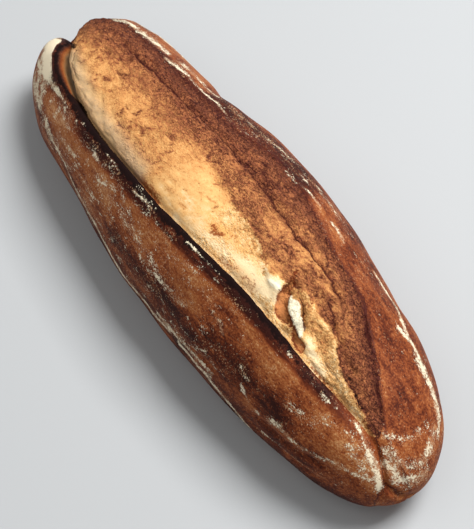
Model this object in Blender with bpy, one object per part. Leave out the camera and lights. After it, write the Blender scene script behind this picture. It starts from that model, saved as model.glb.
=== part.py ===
"""Sourdough loaf: one long batard with a single lengthwise score, as one closed solid.

The loaf lies along X on a flat sole at z = 0. Seen from above, the score runs along the -Y side of the centre line.
The dough on its -Y side has lifted into a thin lip, the ear. On its +Y side the torn dough has swollen into a broad
band, which ends at the edge of the smooth outer skin. At the -X end the score gapes and ends in a notch between two
rounded lobes. At the +X end it closes into a seam that runs down the nose.

The solid is a loft. Each ring is a cross-section at one station along X: a flat-bottomed dome, whose outline follows
the ear's section near the score and carries the swelling, creases and strands of the torn band. Metres, +Z up.
"""

import math

import bmesh
import bpy
import numpy as np

MM = 0.001

# Driving dimensions of the dome, before the ear and the swelling are added to it.
LENGTH = 350 * MM
WIDTH = 122 * MM
HEIGHT = 79.5 * MM
WAIST = 0.36  # height of the widest line, as a share of the crown's height
TIP_WAIST = 0.30  # the same at the two ends
SOLE_DEPTH = 1.25  # the lower half is this much deeper than the waist, and is cut flat at z = 0
SOLE_SQUARENESS = 2.6  # superellipse exponent of the lower half
FAR_BLUNTNESS = 2.25  # superellipse exponents of the plan outline at the -X and +X ends
NEAR_BLUNTNESS = 3.25
TIP_SHIFT = {"far": 0.7 * MM, "near": -6.2 * MM}  # how far the tips lie off the centre line, along Y

# Half widths at five stations from -X to +X, as shares of WIDTH / 2, on the ear's side and on the skin's side.
EAR_SIDE = (1.24, 0.945, 0.95, 0.89, 0.87)
SKIN_SIDE = (1.35, 0.885, 0.99, 0.895, 1.03)
DENT = {"x": -69 * MM, "depth": 3.0 * MM, "length": 9 * MM}  # where the +Y flank is pinched

# Lines on the loaf, seen from above: (x, y) in millimetres.
SCORE_LINE = ((-175, 0.7), (-171, -0.5), (-165, -3), (-159, -8), (-153, -14), (-146, -18.5), (-136, -24), (-125, -28),
              (-107, -31), (-90, -33), (-69, -34), (-45, -34), (-16, -33.5), (4, -31.5), (22, -29.5), (40, -27),
              (58, -25), (74, -24), (96, -22), (108, -20.5), (126, -17), (139, -14.5), (152, -13), (160, -14),
              (167, -17), (171, -17), (175, -12))
SKIN_LINE = ((-175, 0.7), (-171, 13), (-165, 19), (-155, 24), (-145, 26), (-129, 26), (-100, 25), (-71, 26),
             (-56, 29), (-39, 29), (-16, 35), (-3, 38), (14, 37), (43, 31), (59, 28), (76, 26), (88, 23), (104, 17),
             (119, 10), (130, 4), (141, -1), (152, -7), (175, -6.2))
CREASE_LINE = ((-133, 9), (-104, 11), (-76, 13), (-52, 14), (-29, 17), (5, 17), (39, 15), (68, 16), (90, 12),
               (108, 6))
STEP_LINE = ((-50, 6), (-18, 4), (-5, 0), (11, -2), (29, -1), (53, -9), (60, -6), (67, 0), (87, 0), (96, 1),
             (104, -2), (113, -7), (129, -9), (140, -10))
SHOULDER_LINE = ((-120, -45), (-78, -50), (-34, -54), (18, -55), (62, -52), (103, -49), (136, -41))

LINE_ROUNDING = 3.5 * MM  # how far each side of a corner a line is rounded off

# The ear's section at stations along X: (across the score, above the dome) in millimetres, from the flap over the
# lip's crest, round its tip, down into the groove and up to the foot of the torn band. All have the same points.
EAR_SECTIONS = {
    -171: ((-34, 0), (-18, 0), (-8, 0.6), (-5, 0.2), (-3, -1.4), (-1.4, -3.8), (-0.2, -6.2), (0.8, -6.8),
           (2, -5.6), (4, -1.8), (9, 0.4)),
    -165: ((-34, 0), (-18, 0.3), (-8, 1.2), (-5, 1.0), (-2.8, -0.4), (-1.2, -3.0), (0.1, -6.4), (1, -7.2),
           (2, -6.2), (3.8, -2.0), (9, 0.8)),
    -159: ((-34, 0), (-18, 0.6), (-8, 1.8), (-4, 2.2), (-1.6, 1.5), (0, -0.4), (1, -3.4), (1.8, -5.4), (2.8, -5.2),
           (4.6, -1.6), (9.5, 0.6)),
    -153: ((-34, 0), (-18, 0.8), (-8, 2.0), (-4, 2.7), (-1.4, 2.4), (0.4, 0.9), (2, -2.4), (3.8, -5.6), (6, -5.4),
           (8, -1.6), (12, 0.2)),
    -146: ((-34, 0), (-18, 0.9), (-8, 2.1), (-4, 2.9), (-1.4, 2.8), (0.4, 1.2), (2.2, -2.4), (4.6, -5.8),
           (7.4, -5.4), (9.4, -1.6), (13, 0.2)),
    -130: ((-34, 0), (-18, 1.0), (-8, 2.2), (-4, 3.0), (-1.2, 3.0), (0.7, 1.6), (1.8, -1.6), (3.6, -4.8),
           (5.6, -4.5), (7.4, -1.4), (11, 0)),
    -108: ((-34, 0), (-18, 1.1), (-8, 2.3), (-4, 3.1), (-1, 3.1), (0.9, 2.1), (1.2, 0.2), (1.5, -3.0), (2.8, -3.4),
           (4.6, -1.2), (9, 0)),
    -82: ((-34, 0), (-18, 1.2), (-8, 2.6), (-4, 3.4), (-0.8, 3.4), (1.3, 2.5), (1.8, 1.2), (1.0, -0.6), (1.6, -1.8),
          (3.6, -0.9), (8.5, 0)),
    0: ((-34, 0), (-18, 1.2), (-8, 2.7), (-4, 3.5), (-0.8, 3.5), (1.7, 2.6), (2.3, 1.4), (1.3, 0), (1.6, -1.3),
        (3.5, -0.8), (8, 0)),
    85: ((-34, 0), (-18, 1.1), (-8, 2.3), (-4, 2.9), (-0.8, 2.8), (1.3, 2.0), (1.8, 0.9), (1.0, -0.4), (1.4, -1.5),
         (3.3, -1.1), (8, 0)),
    112: ((-34, 0), (-18, 0.9), (-8, 1.7), (-3.8, 1.8), (-1.4, 1.4), (0.1, 0.7), (0.6, 0), (0.8, -0.8),
          (1.5, -1.2), (3.4, -0.8), (8, 0)),
    138: ((-34, 0), (-18, 0.9), (-8, 1.3), (-4, 0.9), (-2.1, 0.1), (-1, -0.8), (-0.4, -1.6), (0.2, -2.1),
          (1.2, -1.7), (3, -0.6), (8, 0.2)),
    160: ((-34, 0), (-18, 1.1), (-8, 1.5), (-4, 0.8), (-2.2, -0.4), (-1.2, -1.6), (-0.5, -2.6), (0.2, -3.1),
          (1.1, -2.5), (3, -0.6), (8, 0.8)),
    172: ((-34, 0), (-18, 0.2), (-8, 0.3), (-4, 0.2), (-2.4, 0), (-1.4, -0.3), (-0.7, -0.6), (0.2, -0.7),
          (1.1, -0.5), (3, -0.1), (8, 0)),
}
FULL_RING = 90 * MM  # a ring with less outline than this carries a smaller ear, down to none at the tips

# The torn band between the score and the skin's edge. Its swelling at stations along X, (x, height) in millimetres.
SWELL = ((-175, 0), (-165, 3.0), (-150, 4.0), (-125, 4.4), (-60, 3.8), (0, 3.2), (60, 2.6), (105, 1.6), (135, 0.8),
         (175, 0))
SKIN_STEP = {"depth": 1.1 * MM, "width": 3.8 * MM}  # the band dips just inside the skin's edge
CREASE = {"depth": 1.3 * MM, "width": 2.4 * MM}
STEP = {"depth": 1.4 * MM, "width": 3.0 * MM}
SHOULDER = {"height": 0.8 * MM, "width": 5.0 * MM}

# Strands of dough that stretched across the score's closing end, each a line of (x, y) with its width and its height,
# all in millimetres. A negative height is a tear between strands.
STRANDS = (
    (((50, -7), (62, -9), (65, -16)), 4.0, 0.9),
    (((64, 1), (67, -6), (69, -13), (74, -19)), 2.8, -2.0),
    (((70, -10), (80, -11), (90, -15)), 2.6, 1.3),
    (((82, -8), (87, -14), (89, -18)), 2.4, -1.4),
    (((92, -13), (101, -14), (108, -16)), 3.2, 1.0),
    (((64, -4), (85, -5), (92, -3), (100, -4), (109, -7), (116, -9), (130, -10)), 2.6, 1.4),
    (((104, -1), (116, -5), (129, -6), (136, -7)), 2.2, -1.3),
    (((56, 9), (82, 8), (99, 5), (111, 1), (126, -2), (140, -5)), 6.5, 1.1),
)

# Tucks round the nose, where the seam's two sides were pinched: lines of (x, y, z), width and depth, in millimetres.
TUCKS = (
    (((167, -17, 40), (168, -20, 32), (167, -20, 16)), 2.2, 1.5),
    (((167, -17, 40), (171, -15, 34), (174, -11, 28), (175, -2, 22)), 2.2, 1.5),
)

# The notch between the -X end's two lobes: a wide dent along a line of (x, y, z), all in millimetres. It dies out
# towards the sole and, along the line, towards the groove.
CLEFT = {"line": ((-178, -5, 24), (-170, 1, 44), (-156, -9, 57), (-146, -18, 60)), "width": 10.4, "depth": 9.0}
CLEFT_FOOT = (6 * MM, 30 * MM)  # it fades in between these heights

# Slow unevenness of the hand-shaped dough: wavelength along X, wavelength across, height and phase.
LUMPS = ((96 * MM, 82 * MM, 0.7 * MM, 0.4), (61 * MM, 60 * MM, 0.4 * MM, 2.1), (39 * MM, 44 * MM, 0.25 * MM, 4.0))

# How the loft is divided: its rings, and the points of one ring over each half of the sole, each flank, the ear and
# the rest of the top.
RINGS = 90
RING_CROWDING = 0.3  # how much closer together the middle rings stand than evenly turned ones
SOLE_POINTS = 3
EAR_FLANK_POINTS = 12
EAR_POINTS = 19
TOP_POINTS = 24
OUTLINE_SAMPLES = 481  # points of the plain dome's outline that a ring is measured on
SMALLEST_SOLE = 0.03  # the sole's part of a ring next to the tips, as a share of its outline

CRUST_COLOUR = (0.33, 0.13, 0.05, 1.0)
CRUST_ROUGHNESS = 0.62


def spline(knots, values, at):
    """Natural cubic spline through (knots, values), read at the given places and held flat outside them."""
    knots, values = np.asarray(knots, float), np.asarray(values, float)
    at = np.clip(np.asarray(at, float), knots[0], knots[-1])
    gap, slope = np.diff(knots), np.diff(values) / np.diff(knots)
    system = np.eye(len(knots))
    right = np.zeros(len(knots))
    for i in range(1, len(knots) - 1):
        system[i, i - 1 : i + 2] = gap[i - 1], 2 * (gap[i - 1] + gap[i]), gap[i]
        right[i] = 6 * (slope[i] - slope[i - 1])
    bend = np.linalg.solve(system, right)
    k = np.clip(np.searchsorted(knots, at) - 1, 0, len(gap) - 1)
    after, before = at - knots[k], knots[k + 1] - at
    curved = (bend[k] * before**3 + bend[k + 1] * after**3) / (6 * gap[k])
    near_part = (values[k] / gap[k] - bend[k] * gap[k] / 6) * before
    far_part = (values[k + 1] / gap[k] - bend[k + 1] * gap[k] / 6) * after
    return curved + near_part + far_part


def read_line(line, x):
    """The value at x, in metres, of a line of (x, value) pairs in millimetres, with its corners rounded off."""
    points = np.array(line, float) * MM
    window = np.linspace(-LINE_ROUNDING, LINE_ROUNDING, 7)
    return float(np.interp(x + window, points[:, 0], points[:, 1]).mean())


def ease(low, high, value):
    """0 below low, 1 above high and an even curve between."""
    share = np.clip((value - low) / (high - low), 0, 1)
    return share * share * (3 - 2 * share)


def valley(distance, width):
    return np.exp(-((distance / width) ** 2))


def signed_power(value, exponent):
    return np.sign(value) * np.abs(value) ** exponent


def centre_y(share):
    """Y of the ring's centre at a station, given as a share of the half length from -1 to 1."""
    shift = np.where(share < 0, TIP_SHIFT["far"], TIP_SHIFT["near"])
    return shift * np.abs(share) ** 4


def dome_outlines(angles):
    """Points of the plain dome: one outline for each station angle, from the sole's middle up the -Y flank."""
    share = -np.cos(angles)
    bluntness = np.where(share < 0, FAR_BLUNTNESS, NEAR_BLUNTNESS)
    plan = np.sqrt(np.clip(1 - np.abs(share) ** bluntness, 0, None))
    side = np.sqrt(np.clip(1 - np.abs(share) ** FAR_BLUNTNESS, 0, None))
    stations = np.linspace(-1, 1, len(EAR_SIDE))
    x = share * LENGTH / 2
    ear_half = plan * spline(stations, EAR_SIDE, share) * WIDTH / 2
    skin_half = plan * spline(stations, SKIN_SIDE, share) * WIDTH / 2
    skin_half = skin_half - plan * DENT["depth"] * valley(x - DENT["x"], DENT["length"])
    waist = HEIGHT * (WAIST - (WAIST - TIP_WAIST) * np.abs(share) ** 3)

    turn = np.linspace(0, 2 * math.pi, OUTLINE_SAMPLES)[None, :]
    across, rise = -np.sin(turn), -np.cos(turn)
    lower = rise < 0
    across = np.where(lower, signed_power(across, 2 / SOLE_SQUARENESS), across)
    rise = np.where(lower, signed_power(rise, 2 / SOLE_SQUARENESS), rise)
    half = np.where(across < 0, ear_half[:, None], skin_half[:, None])
    reach = np.where(lower, (plan * waist * SOLE_DEPTH)[:, None], (side * (HEIGHT - waist))[:, None])
    y = centre_y(share)[:, None] + half * across
    z = np.maximum(waist[:, None] + reach * rise, 0)
    return np.stack([np.broadcast_to(x[:, None], y.shape), y, z], axis=-1)


def outward(outlines):
    """Unit normals of the dome's surface at its outline points."""
    along = np.gradient(outlines, axis=0)
    round_ring = np.gradient(outlines, axis=1)
    normals = np.cross(along, round_ring)
    length = np.linalg.norm(normals, axis=-1, keepdims=True)
    return normals / np.maximum(length, 1e-12)


def ear_section(x):
    """The ear's section at x as (across, above) in metres: the stations' sections blended point by point."""
    stations = np.array(sorted(EAR_SECTIONS), float) * MM
    corners = np.array([EAR_SECTIONS[s] for s in sorted(EAR_SECTIONS)], float) * MM
    k = int(np.clip(np.searchsorted(stations, x) - 1, 0, len(stations) - 2))
    share = ease(stations[k], stations[k + 1], x)
    return corners[k] * (1 - share) + corners[k + 1] * share


def rounded(corners, count):
    """A smooth run of points through the corners, closest together round the lip and in the groove."""
    steps = np.linalg.norm(np.diff(corners, axis=0), axis=1)
    knots = np.concatenate([[0], np.cumsum(np.sqrt(steps))])
    fine = np.linspace(0, knots[-1], 40 * count)
    run = np.stack([spline(knots, corners[:, k], fine) for k in (0, 1)], axis=1)
    crowding = 1 + 3 * valley(run[1:, 0] - 2 * MM, 7 * MM)
    weight = np.concatenate([[0], np.cumsum(np.linalg.norm(np.diff(run, axis=0), axis=1) * crowding)])
    places = np.interp(np.linspace(0, weight[-1], count), weight, fine)
    return np.stack([np.interp(places, fine, run[:, k]) for k in (0, 1)], axis=1)


def off_line(line, places):
    """Distance from each place to a line of points in millimetres, and how far along it the nearest point lies."""
    corners = np.array(line) * MM
    runs = np.diff(corners, axis=0)
    starts = np.concatenate([[0], np.cumsum(np.linalg.norm(runs, axis=1))])
    nearest = np.full(len(places), np.inf)
    place = np.zeros(len(places))
    for corner, run, start in zip(corners, runs, starts):
        share = np.clip((places - corner) @ run / (run @ run), 0, 1)
        off = np.linalg.norm(places - corner - share[:, None] * run, axis=1)
        place = np.where(off < nearest, start + share * np.linalg.norm(run), place)
        nearest = np.minimum(off, nearest)
    return nearest, place / starts[-1]


def ridge_height(lines, places):
    """Height at some places of ridges along lines of points. A ridge's height fades towards both its ends."""
    total = np.zeros(len(places))
    for line, width, height in lines:
        nearest, place = off_line(line, places)
        fade = ease(-0.1, 0.2, place) * (1 - ease(0.8, 1.1, place))
        total += height * MM * fade * valley(nearest, width * MM)
    return total


def cleft_depth(places):
    nearest, place = off_line(CLEFT["line"], places)
    fade = ease(*CLEFT_FOOT, places[:, 2]) * (1 - ease(0.7, 1.1, place))
    return CLEFT["depth"] * MM * fade * valley(nearest, CLEFT["width"] * MM)


def lump_height(x, across):
    total = np.zeros_like(across)
    for long, wide, height, phase in LUMPS:
        total += height * np.sin(2 * math.pi * x / long + phase) * np.cos(2 * math.pi * across / wide + 2 * phase)
    return total


def band_height(base, across, width):
    """Height of the torn band over the dome, across it from the score (0) to the skin's edge (width)."""
    x, y = base[0, 0], base[:, 1]
    share = np.clip(across / max(width, 1 * MM), 0, 1)
    inside = ease(0, 4 * MM, across) * (1 - ease(width - 2 * MM, width + 2 * MM, across))
    total = read_line(SWELL, x) * np.sin(math.pi * share**0.8) ** 0.8
    total -= SKIN_STEP["depth"] * valley(across - width + SKIN_STEP["width"], SKIN_STEP["width"])
    crease_ends = ease(-145 * MM, -115 * MM, x) * (1 - ease(85 * MM, 112 * MM, x))
    total -= CREASE["depth"] * crease_ends * valley(y - read_line(CREASE_LINE, x), CREASE["width"])
    step_ends = ease(-50 * MM, -10 * MM, x) * (1 - ease(95 * MM, 125 * MM, x))
    total -= STEP["depth"] * step_ends * (1 - ease(-STEP["width"], STEP["width"], y - read_line(STEP_LINE, x)))
    return inside * (total + ease(1 * MM, 6 * MM, across) * ridge_height(STRANDS, base[:, :2]))


def ring_points(outline, normals):
    """One ring of the loft, from the sole's middle up the -Y flank, over the ear and the top, and down to the sole."""
    x = outline[0, 0]
    length = np.concatenate([[0], np.cumsum(np.linalg.norm(np.diff(outline, axis=0), axis=1))])
    total = length[-1]
    first, last = np.argmin(outline[:, 1]), np.argmax(outline[:, 1])
    top_y, top_length = outline[first : last + 1, 1], length[first : last + 1]
    score = float(np.interp(read_line(SCORE_LINE, x), top_y, top_length))
    skin = float(np.interp(read_line(SKIN_LINE, x), top_y, top_length))
    raised = np.nonzero(outline[:, 2] > 0)[0]
    sole_left = max(length[raised[0]], SMALLEST_SOLE * total)
    sole_right = min(length[raised[-1]], (1 - SMALLEST_SOLE) * total)
    size = min(1.0, total / FULL_RING)

    ear = rounded(ear_section(x), EAR_POINTS) * size
    ear_start, ear_end = score + ear[0, 0], score + ear[-1, 0]
    share = np.linspace(0, 1, TOP_POINTS + 1)[1:]
    places = np.concatenate([
        np.linspace(0, sole_left, SOLE_POINTS + 1)[:-1],
        np.linspace(sole_left, max(ear_start, sole_left + 2 * MM * size), EAR_FLANK_POINTS + 1)[:-1],
        score + ear[:, 0],
        ear_end + (sole_right - ear_end) * (0.5 * share + 0.5 * share**2),
        np.linspace(sole_right, total, SOLE_POINTS + 1)[1:-1],
    ])
    before = SOLE_POINTS + EAR_FLANK_POINTS
    above = np.zeros(len(places))
    above[before : before + EAR_POINTS] = ear[:, 1]

    base = np.stack([np.interp(places, length, outline[:, k]) for k in range(3)], axis=1)
    normal = np.stack([np.interp(places, length, normals[:, k]) for k in range(3)], axis=1)
    normal /= np.linalg.norm(normal, axis=1, keepdims=True)
    across = places - score
    past_groove = np.arange(len(places)) > before + EAR_POINTS - 6
    above += size * past_groove * band_height(base, across, max(skin - score, 0.0))
    clear_of_sole = ease(4 * MM, 22 * MM, base[:, 2])
    shoulder_ends = ease(-150 * MM, -110 * MM, x) * (1 - ease(110 * MM, 150 * MM, x))
    on_shoulder = (across < -8 * MM) * valley(base[:, 1] - read_line(SHOULDER_LINE, x), SHOULDER["width"])
    above += clear_of_sole * (SHOULDER["height"] * shoulder_ends * on_shoulder + size * lump_height(x, across))
    above -= ridge_height(TUCKS, base) + cleft_depth(base)
    return base + normal * above[:, None]


def loaf_mesh():
    """The loft's mesh: rings from the -X tip to the +X tip, each end closed by a fan round its tip."""
    even = (np.arange(RINGS) + 0.5) / RINGS
    angles = math.pi * even + RING_CROWDING / 2 * np.sin(2 * math.pi * even)
    outlines = dome_outlines(angles)
    normals = outward(outlines)
    rings = np.array([ring_points(outline, normal) for outline, normal in zip(outlines, normals)])
    tips = np.array([rings[0].mean(axis=0), rings[-1].mean(axis=0)])
    everything = np.concatenate([rings.reshape(-1, 3), tips])
    middle = (everything.min(axis=0) + everything.max(axis=0)) / 2
    middle[2] = 0.0
    rings -= middle
    tips -= middle

    shape = bmesh.new()
    ring_verts = [[shape.verts.new(point) for point in ring] for ring in rings]
    tip_verts = [shape.verts.new(point) for point in tips]
    count = rings.shape[1]
    for near, far in zip(ring_verts, ring_verts[1:]):
        for i in range(count):
            j = (i + 1) % count
            shape.faces.new((near[i], near[j], far[j], far[i]))
    for i in range(count):
        j = (i + 1) % count
        shape.faces.new((tip_verts[0], ring_verts[0][j], ring_verts[0][i]))
        shape.faces.new((tip_verts[1], ring_verts[-1][i], ring_verts[-1][j]))
    bmesh.ops.recalc_face_normals(shape, faces=shape.faces)
    mesh = bpy.data.meshes.new("loaf")
    shape.to_mesh(mesh)
    shape.free()
    mesh.shade_smooth()
    return mesh


def crust_material():
    material = bpy.data.materials.new("crust")
    material.use_nodes = True
    shader = material.node_tree.nodes["Principled BSDF"]
    shader.inputs["Base Color"].default_value = CRUST_COLOUR
    shader.inputs["Roughness"].default_value = CRUST_ROUGHNESS
    shader.inputs["Metallic"].default_value = 0.0
    return material


def main():
    for obj in list(bpy.data.objects):
        bpy.data.objects.remove(obj)
    mesh = loaf_mesh()
    mesh.materials.append(crust_material())
    loaf = bpy.data.objects.new("loaf", mesh)
    bpy.context.scene.collection.objects.link(loaf)


main()
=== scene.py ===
# %% [markdown]
# # A sourdough loaf, from plain solid to baked crust
#
# The packed solid already has the loaf's form: a long dome on a flat sole, one score with a raised ear, a
# broad band of torn dough, a notch at one end and a seam at the other. This lesson lofts the same form
# again with many more faces, presses finer relief into it, records where each kind of crust lies, and then
# bakes the crust with shader nodes.
#
# Distances are in metres. +X runs along the loaf to the end where the score closes, -Y is the ear's side,
# +Z is up.

# %% Load the fixed frame
import math

import bpy
import numpy as np
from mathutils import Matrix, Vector, noise


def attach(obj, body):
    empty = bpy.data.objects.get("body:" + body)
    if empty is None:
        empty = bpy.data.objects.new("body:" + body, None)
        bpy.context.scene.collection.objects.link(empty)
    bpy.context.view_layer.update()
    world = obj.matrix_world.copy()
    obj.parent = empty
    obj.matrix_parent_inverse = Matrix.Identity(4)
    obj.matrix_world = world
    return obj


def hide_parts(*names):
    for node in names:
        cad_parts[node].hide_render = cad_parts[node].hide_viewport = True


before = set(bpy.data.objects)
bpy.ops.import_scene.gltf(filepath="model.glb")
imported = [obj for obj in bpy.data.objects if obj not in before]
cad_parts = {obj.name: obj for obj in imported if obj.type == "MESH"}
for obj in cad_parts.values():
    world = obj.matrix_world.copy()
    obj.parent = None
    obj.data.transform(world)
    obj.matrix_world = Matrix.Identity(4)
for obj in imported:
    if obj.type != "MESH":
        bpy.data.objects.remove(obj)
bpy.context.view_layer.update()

MM = 0.001

# %% [markdown]
# ## Small curves
#
# Almost everything below is a value that changes along a line: a width from end to end, a height across the
# score. A natural cubic spline passes through a few named values without kinks. An ease goes from 0 to 1
# with level ends, and a valley is a bump of one that dies away on both sides. A few helpers like these
# replace a lot of clicking.


# %% Curve helpers
def spline(knots, values, at):
    """Natural cubic spline through (knots, values), read at the given places and held flat outside them."""
    knots, values = np.asarray(knots, float), np.asarray(values, float)
    at = np.clip(np.asarray(at, float), knots[0], knots[-1])
    gap, slope = np.diff(knots), np.diff(values) / np.diff(knots)
    system = np.eye(len(knots))
    right = np.zeros(len(knots))
    for i in range(1, len(knots) - 1):
        system[i, i - 1 : i + 2] = gap[i - 1], 2 * (gap[i - 1] + gap[i]), gap[i]
        right[i] = 6 * (slope[i] - slope[i - 1])
    bend = np.linalg.solve(system, right)
    k = np.clip(np.searchsorted(knots, at) - 1, 0, len(gap) - 1)
    after, before = at - knots[k], knots[k + 1] - at
    curved = (bend[k] * before**3 + bend[k + 1] * after**3) / (6 * gap[k])
    near_part = (values[k] / gap[k] - bend[k] * gap[k] / 6) * before
    far_part = (values[k + 1] / gap[k] - bend[k + 1] * gap[k] / 6) * after
    return curved + near_part + far_part


def ease(low, high, value):
    """0 below low, 1 above high and an even curve between."""
    share = np.clip((value - low) / (high - low), 0, 1)
    return share * share * (3 - 2 * share)


def valley(distance, width):
    """A bump of 1 on a line, which is nearly gone at twice its width."""
    return np.exp(-((distance / width) ** 2))


def signed_power(value, exponent):
    """A power that keeps the sign, as a superellipse needs."""
    return np.sign(value) * np.abs(value) ** exponent


print("ease at a quarter:", float(ease(0, 1, 0.25)))

# %% [markdown]
# ## The dome
#
# Hand-shaped dough is a long dome: round above its widest line, squarer below it where it spread on the
# hearth, and cut flat by the hearth itself. A superellipse gives every such cross-section from two numbers,
# and the plan's outline is another superellipse whose exponent differs between the blunt end and the finer
# one. These are the solid's own sizes, so the dressed loaf fills exactly the space that physics knows.

# %% The dome's named sizes
LENGTH = 350 * MM
WIDTH = 122 * MM
HEIGHT = 79.5 * MM
WAIST = 0.36  # height of the widest line, as a share of the crown's height
TIP_WAIST = 0.30  # the same at the two ends
SOLE_DEPTH = 1.25  # the lower half is this much deeper than the waist, and is cut flat at z = 0
SOLE_SQUARENESS = 2.6  # superellipse exponent of the lower half
FAR_BLUNTNESS = 2.25  # superellipse exponents of the plan outline at the -X and +X ends
NEAR_BLUNTNESS = 3.25
TIP_SHIFT = {"far": 0.7 * MM, "near": -6.2 * MM}  # how far the tips lie off the centre line, along Y

# Half widths at five stations from -X to +X, as shares of WIDTH / 2, on the ear's and on the skin's side.
EAR_SIDE = (1.24, 0.945, 0.95, 0.89, 0.87)
SKIN_SIDE = (1.35, 0.885, 0.99, 0.895, 1.03)
DENT = {"x": -69 * MM, "depth": 3.0 * MM, "length": 9 * MM}  # where the +Y flank is pinched
OUTLINE_SAMPLES = 721  # points of the plain dome's outline that a ring is measured on
print("dome as drawn, mm:", [round(size / MM, 1) for size in (LENGTH, WIDTH, HEIGHT)])


# %% The plain dome, one outline for each station
def centre_y(share):
    """Y of the ring's centre at a station, given as a share of the half length from -1 to 1."""
    shift = np.where(share < 0, TIP_SHIFT["far"], TIP_SHIFT["near"])
    return shift * np.abs(share) ** 4


def dome_outlines(angles):
    """The plain dome: an outline for each station angle, from the sole's middle up the -Y flank."""
    share = -np.cos(angles)
    bluntness = np.where(share < 0, FAR_BLUNTNESS, NEAR_BLUNTNESS)
    plan = np.sqrt(np.clip(1 - np.abs(share) ** bluntness, 0, None))
    side = np.sqrt(np.clip(1 - np.abs(share) ** FAR_BLUNTNESS, 0, None))
    stations = np.linspace(-1, 1, len(EAR_SIDE))
    x = share * LENGTH / 2
    ear_half = plan * spline(stations, EAR_SIDE, share) * WIDTH / 2
    skin_half = plan * spline(stations, SKIN_SIDE, share) * WIDTH / 2
    skin_half = skin_half - plan * DENT["depth"] * valley(x - DENT["x"], DENT["length"])
    waist = HEIGHT * (WAIST - (WAIST - TIP_WAIST) * np.abs(share) ** 3)

    turn = np.linspace(0, 2 * math.pi, OUTLINE_SAMPLES)[None, :]
    across, rise = -np.sin(turn), -np.cos(turn)
    lower = rise < 0
    across = np.where(lower, signed_power(across, 2 / SOLE_SQUARENESS), across)
    rise = np.where(lower, signed_power(rise, 2 / SOLE_SQUARENESS), rise)
    half = np.where(across < 0, ear_half[:, None], skin_half[:, None])
    reach = np.where(lower, (plan * waist * SOLE_DEPTH)[:, None], (side * (HEIGHT - waist))[:, None])
    y = centre_y(share)[:, None] + half * across
    z = np.maximum(waist[:, None] + reach * rise, 0)
    return np.stack([np.broadcast_to(x[:, None], y.shape), y, z], axis=-1)


def outward(grid):
    """Unit normals of a grid of surface points, ring by ring."""
    along = np.gradient(grid, axis=0)
    round_ring = np.gradient(grid, axis=1)
    normals = np.cross(along, round_ring)
    length = np.linalg.norm(normals, axis=-1, keepdims=True)
    return normals / np.maximum(length, 1e-12)


print("tips off the centre line, mm:", [round(float(centre_y(end)) / MM, 1) for end in (-1, 1)])

# %% Where the rings stand
RINGS = 420
END_CLOSENESS = 0.77  # how closely the rings stand at the tips
MIDDLE_CLOSENESS = 0.66  # how much more closely in the middle
STRAND_RINGS = {"x": 85 * MM, "reach": 42 * MM, "extra": 0.8}  # and more again where the thin strands are
turned = np.linspace(0, math.pi, 2001)
station_x = -np.cos(turned) * LENGTH / 2
closeness = END_CLOSENESS + MIDDLE_CLOSENESS * np.sin(turned) ** 2
closeness += STRAND_RINGS["extra"] * valley(station_x - STRAND_RINGS["x"], STRAND_RINGS["reach"])
counted = np.concatenate([[0], np.cumsum((closeness[1:] + closeness[:-1]) / 2)])
angles = np.interp((np.arange(RINGS) + 0.5) / RINGS, counted / counted[-1], turned)
outlines = dome_outlines(angles)
dome_normals = outward(outlines)
print("dome:", len(outlines), "outlines, crown at", round(float(outlines[..., 2].max()) / MM, 1), "mm")

# %% [markdown]
# ## Lines on the loaf
#
# A baker would point at five lines: the score, the edge where the torn band meets the smooth skin, the
# crease that the swelling dough folded along, the inner step where the last pale dough came up, and the
# soft shoulder low on the ear's side. Drawn from above as a few (x, y) pairs in millimetres, they steer
# both the relief and the colours.

# %% The named lines
SCORE_LINE = ((-175, 0.7), (-171, -0.5), (-165, -3), (-159, -8), (-153, -14), (-146, -18.5), (-136, -24),
              (-125, -28), (-107, -31), (-90, -33), (-69, -34), (-45, -34), (-16, -33.5), (4, -31.5),
              (22, -29.5), (40, -27), (58, -25), (74, -24), (96, -22), (108, -20.5), (126, -17),
              (139, -14.5), (152, -13), (160, -14), (167, -17), (171, -17), (175, -12))
SKIN_LINE = ((-175, 0.7), (-171, 13), (-165, 19), (-155, 24), (-145, 26), (-129, 26), (-100, 25), (-71, 26),
             (-56, 29), (-39, 29), (-16, 35), (-3, 38), (14, 37), (43, 31), (59, 28), (76, 26), (88, 23),
             (104, 17), (119, 10), (130, 4), (141, -1), (152, -7), (175, -6.2))
CREASE_LINE = ((-133, 9), (-104, 11), (-76, 13), (-52, 14), (-29, 17), (5, 17), (39, 15), (68, 16),
               (90, 12), (108, 6))
STEP_LINE = ((-50, 6), (-18, 4), (-5, 0), (11, -2), (29, -1), (53, -9), (60, -6), (67, 0), (87, 0), (96, 1),
             (104, -2), (113, -7), (129, -9), (140, -10))
SHOULDER_LINE = ((-120, -45), (-78, -50), (-34, -54), (18, -55), (62, -52), (103, -49), (136, -41))
LINE_ROUNDING = 3.5 * MM  # how far each side of a corner a line is rounded off


def read_line(line, x):
    """The value at x, in metres, of a line of (x, value) pairs in millimetres, its corners rounded off."""
    points = np.array(line, float) * MM
    window = np.linspace(-LINE_ROUNDING, LINE_ROUNDING, 7)
    return np.interp(np.asarray(x)[..., None] + window, points[:, 0], points[:, 1]).mean(axis=-1)


print("score at the middle:", round(float(read_line(SCORE_LINE, 0.0)) / MM, 1), "mm off the centre line")

# %% [markdown]
# ## The ear
#
# The blade goes in at a slant, so one side of the cut lifts into a thin lip that curls over the groove.
# That lip overhangs, so no height map can hold it. Its section is drawn instead as (across, above) pairs
# that may turn back on themselves, at stations along the loaf, and the loft blends one section into the
# next point by point.

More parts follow.
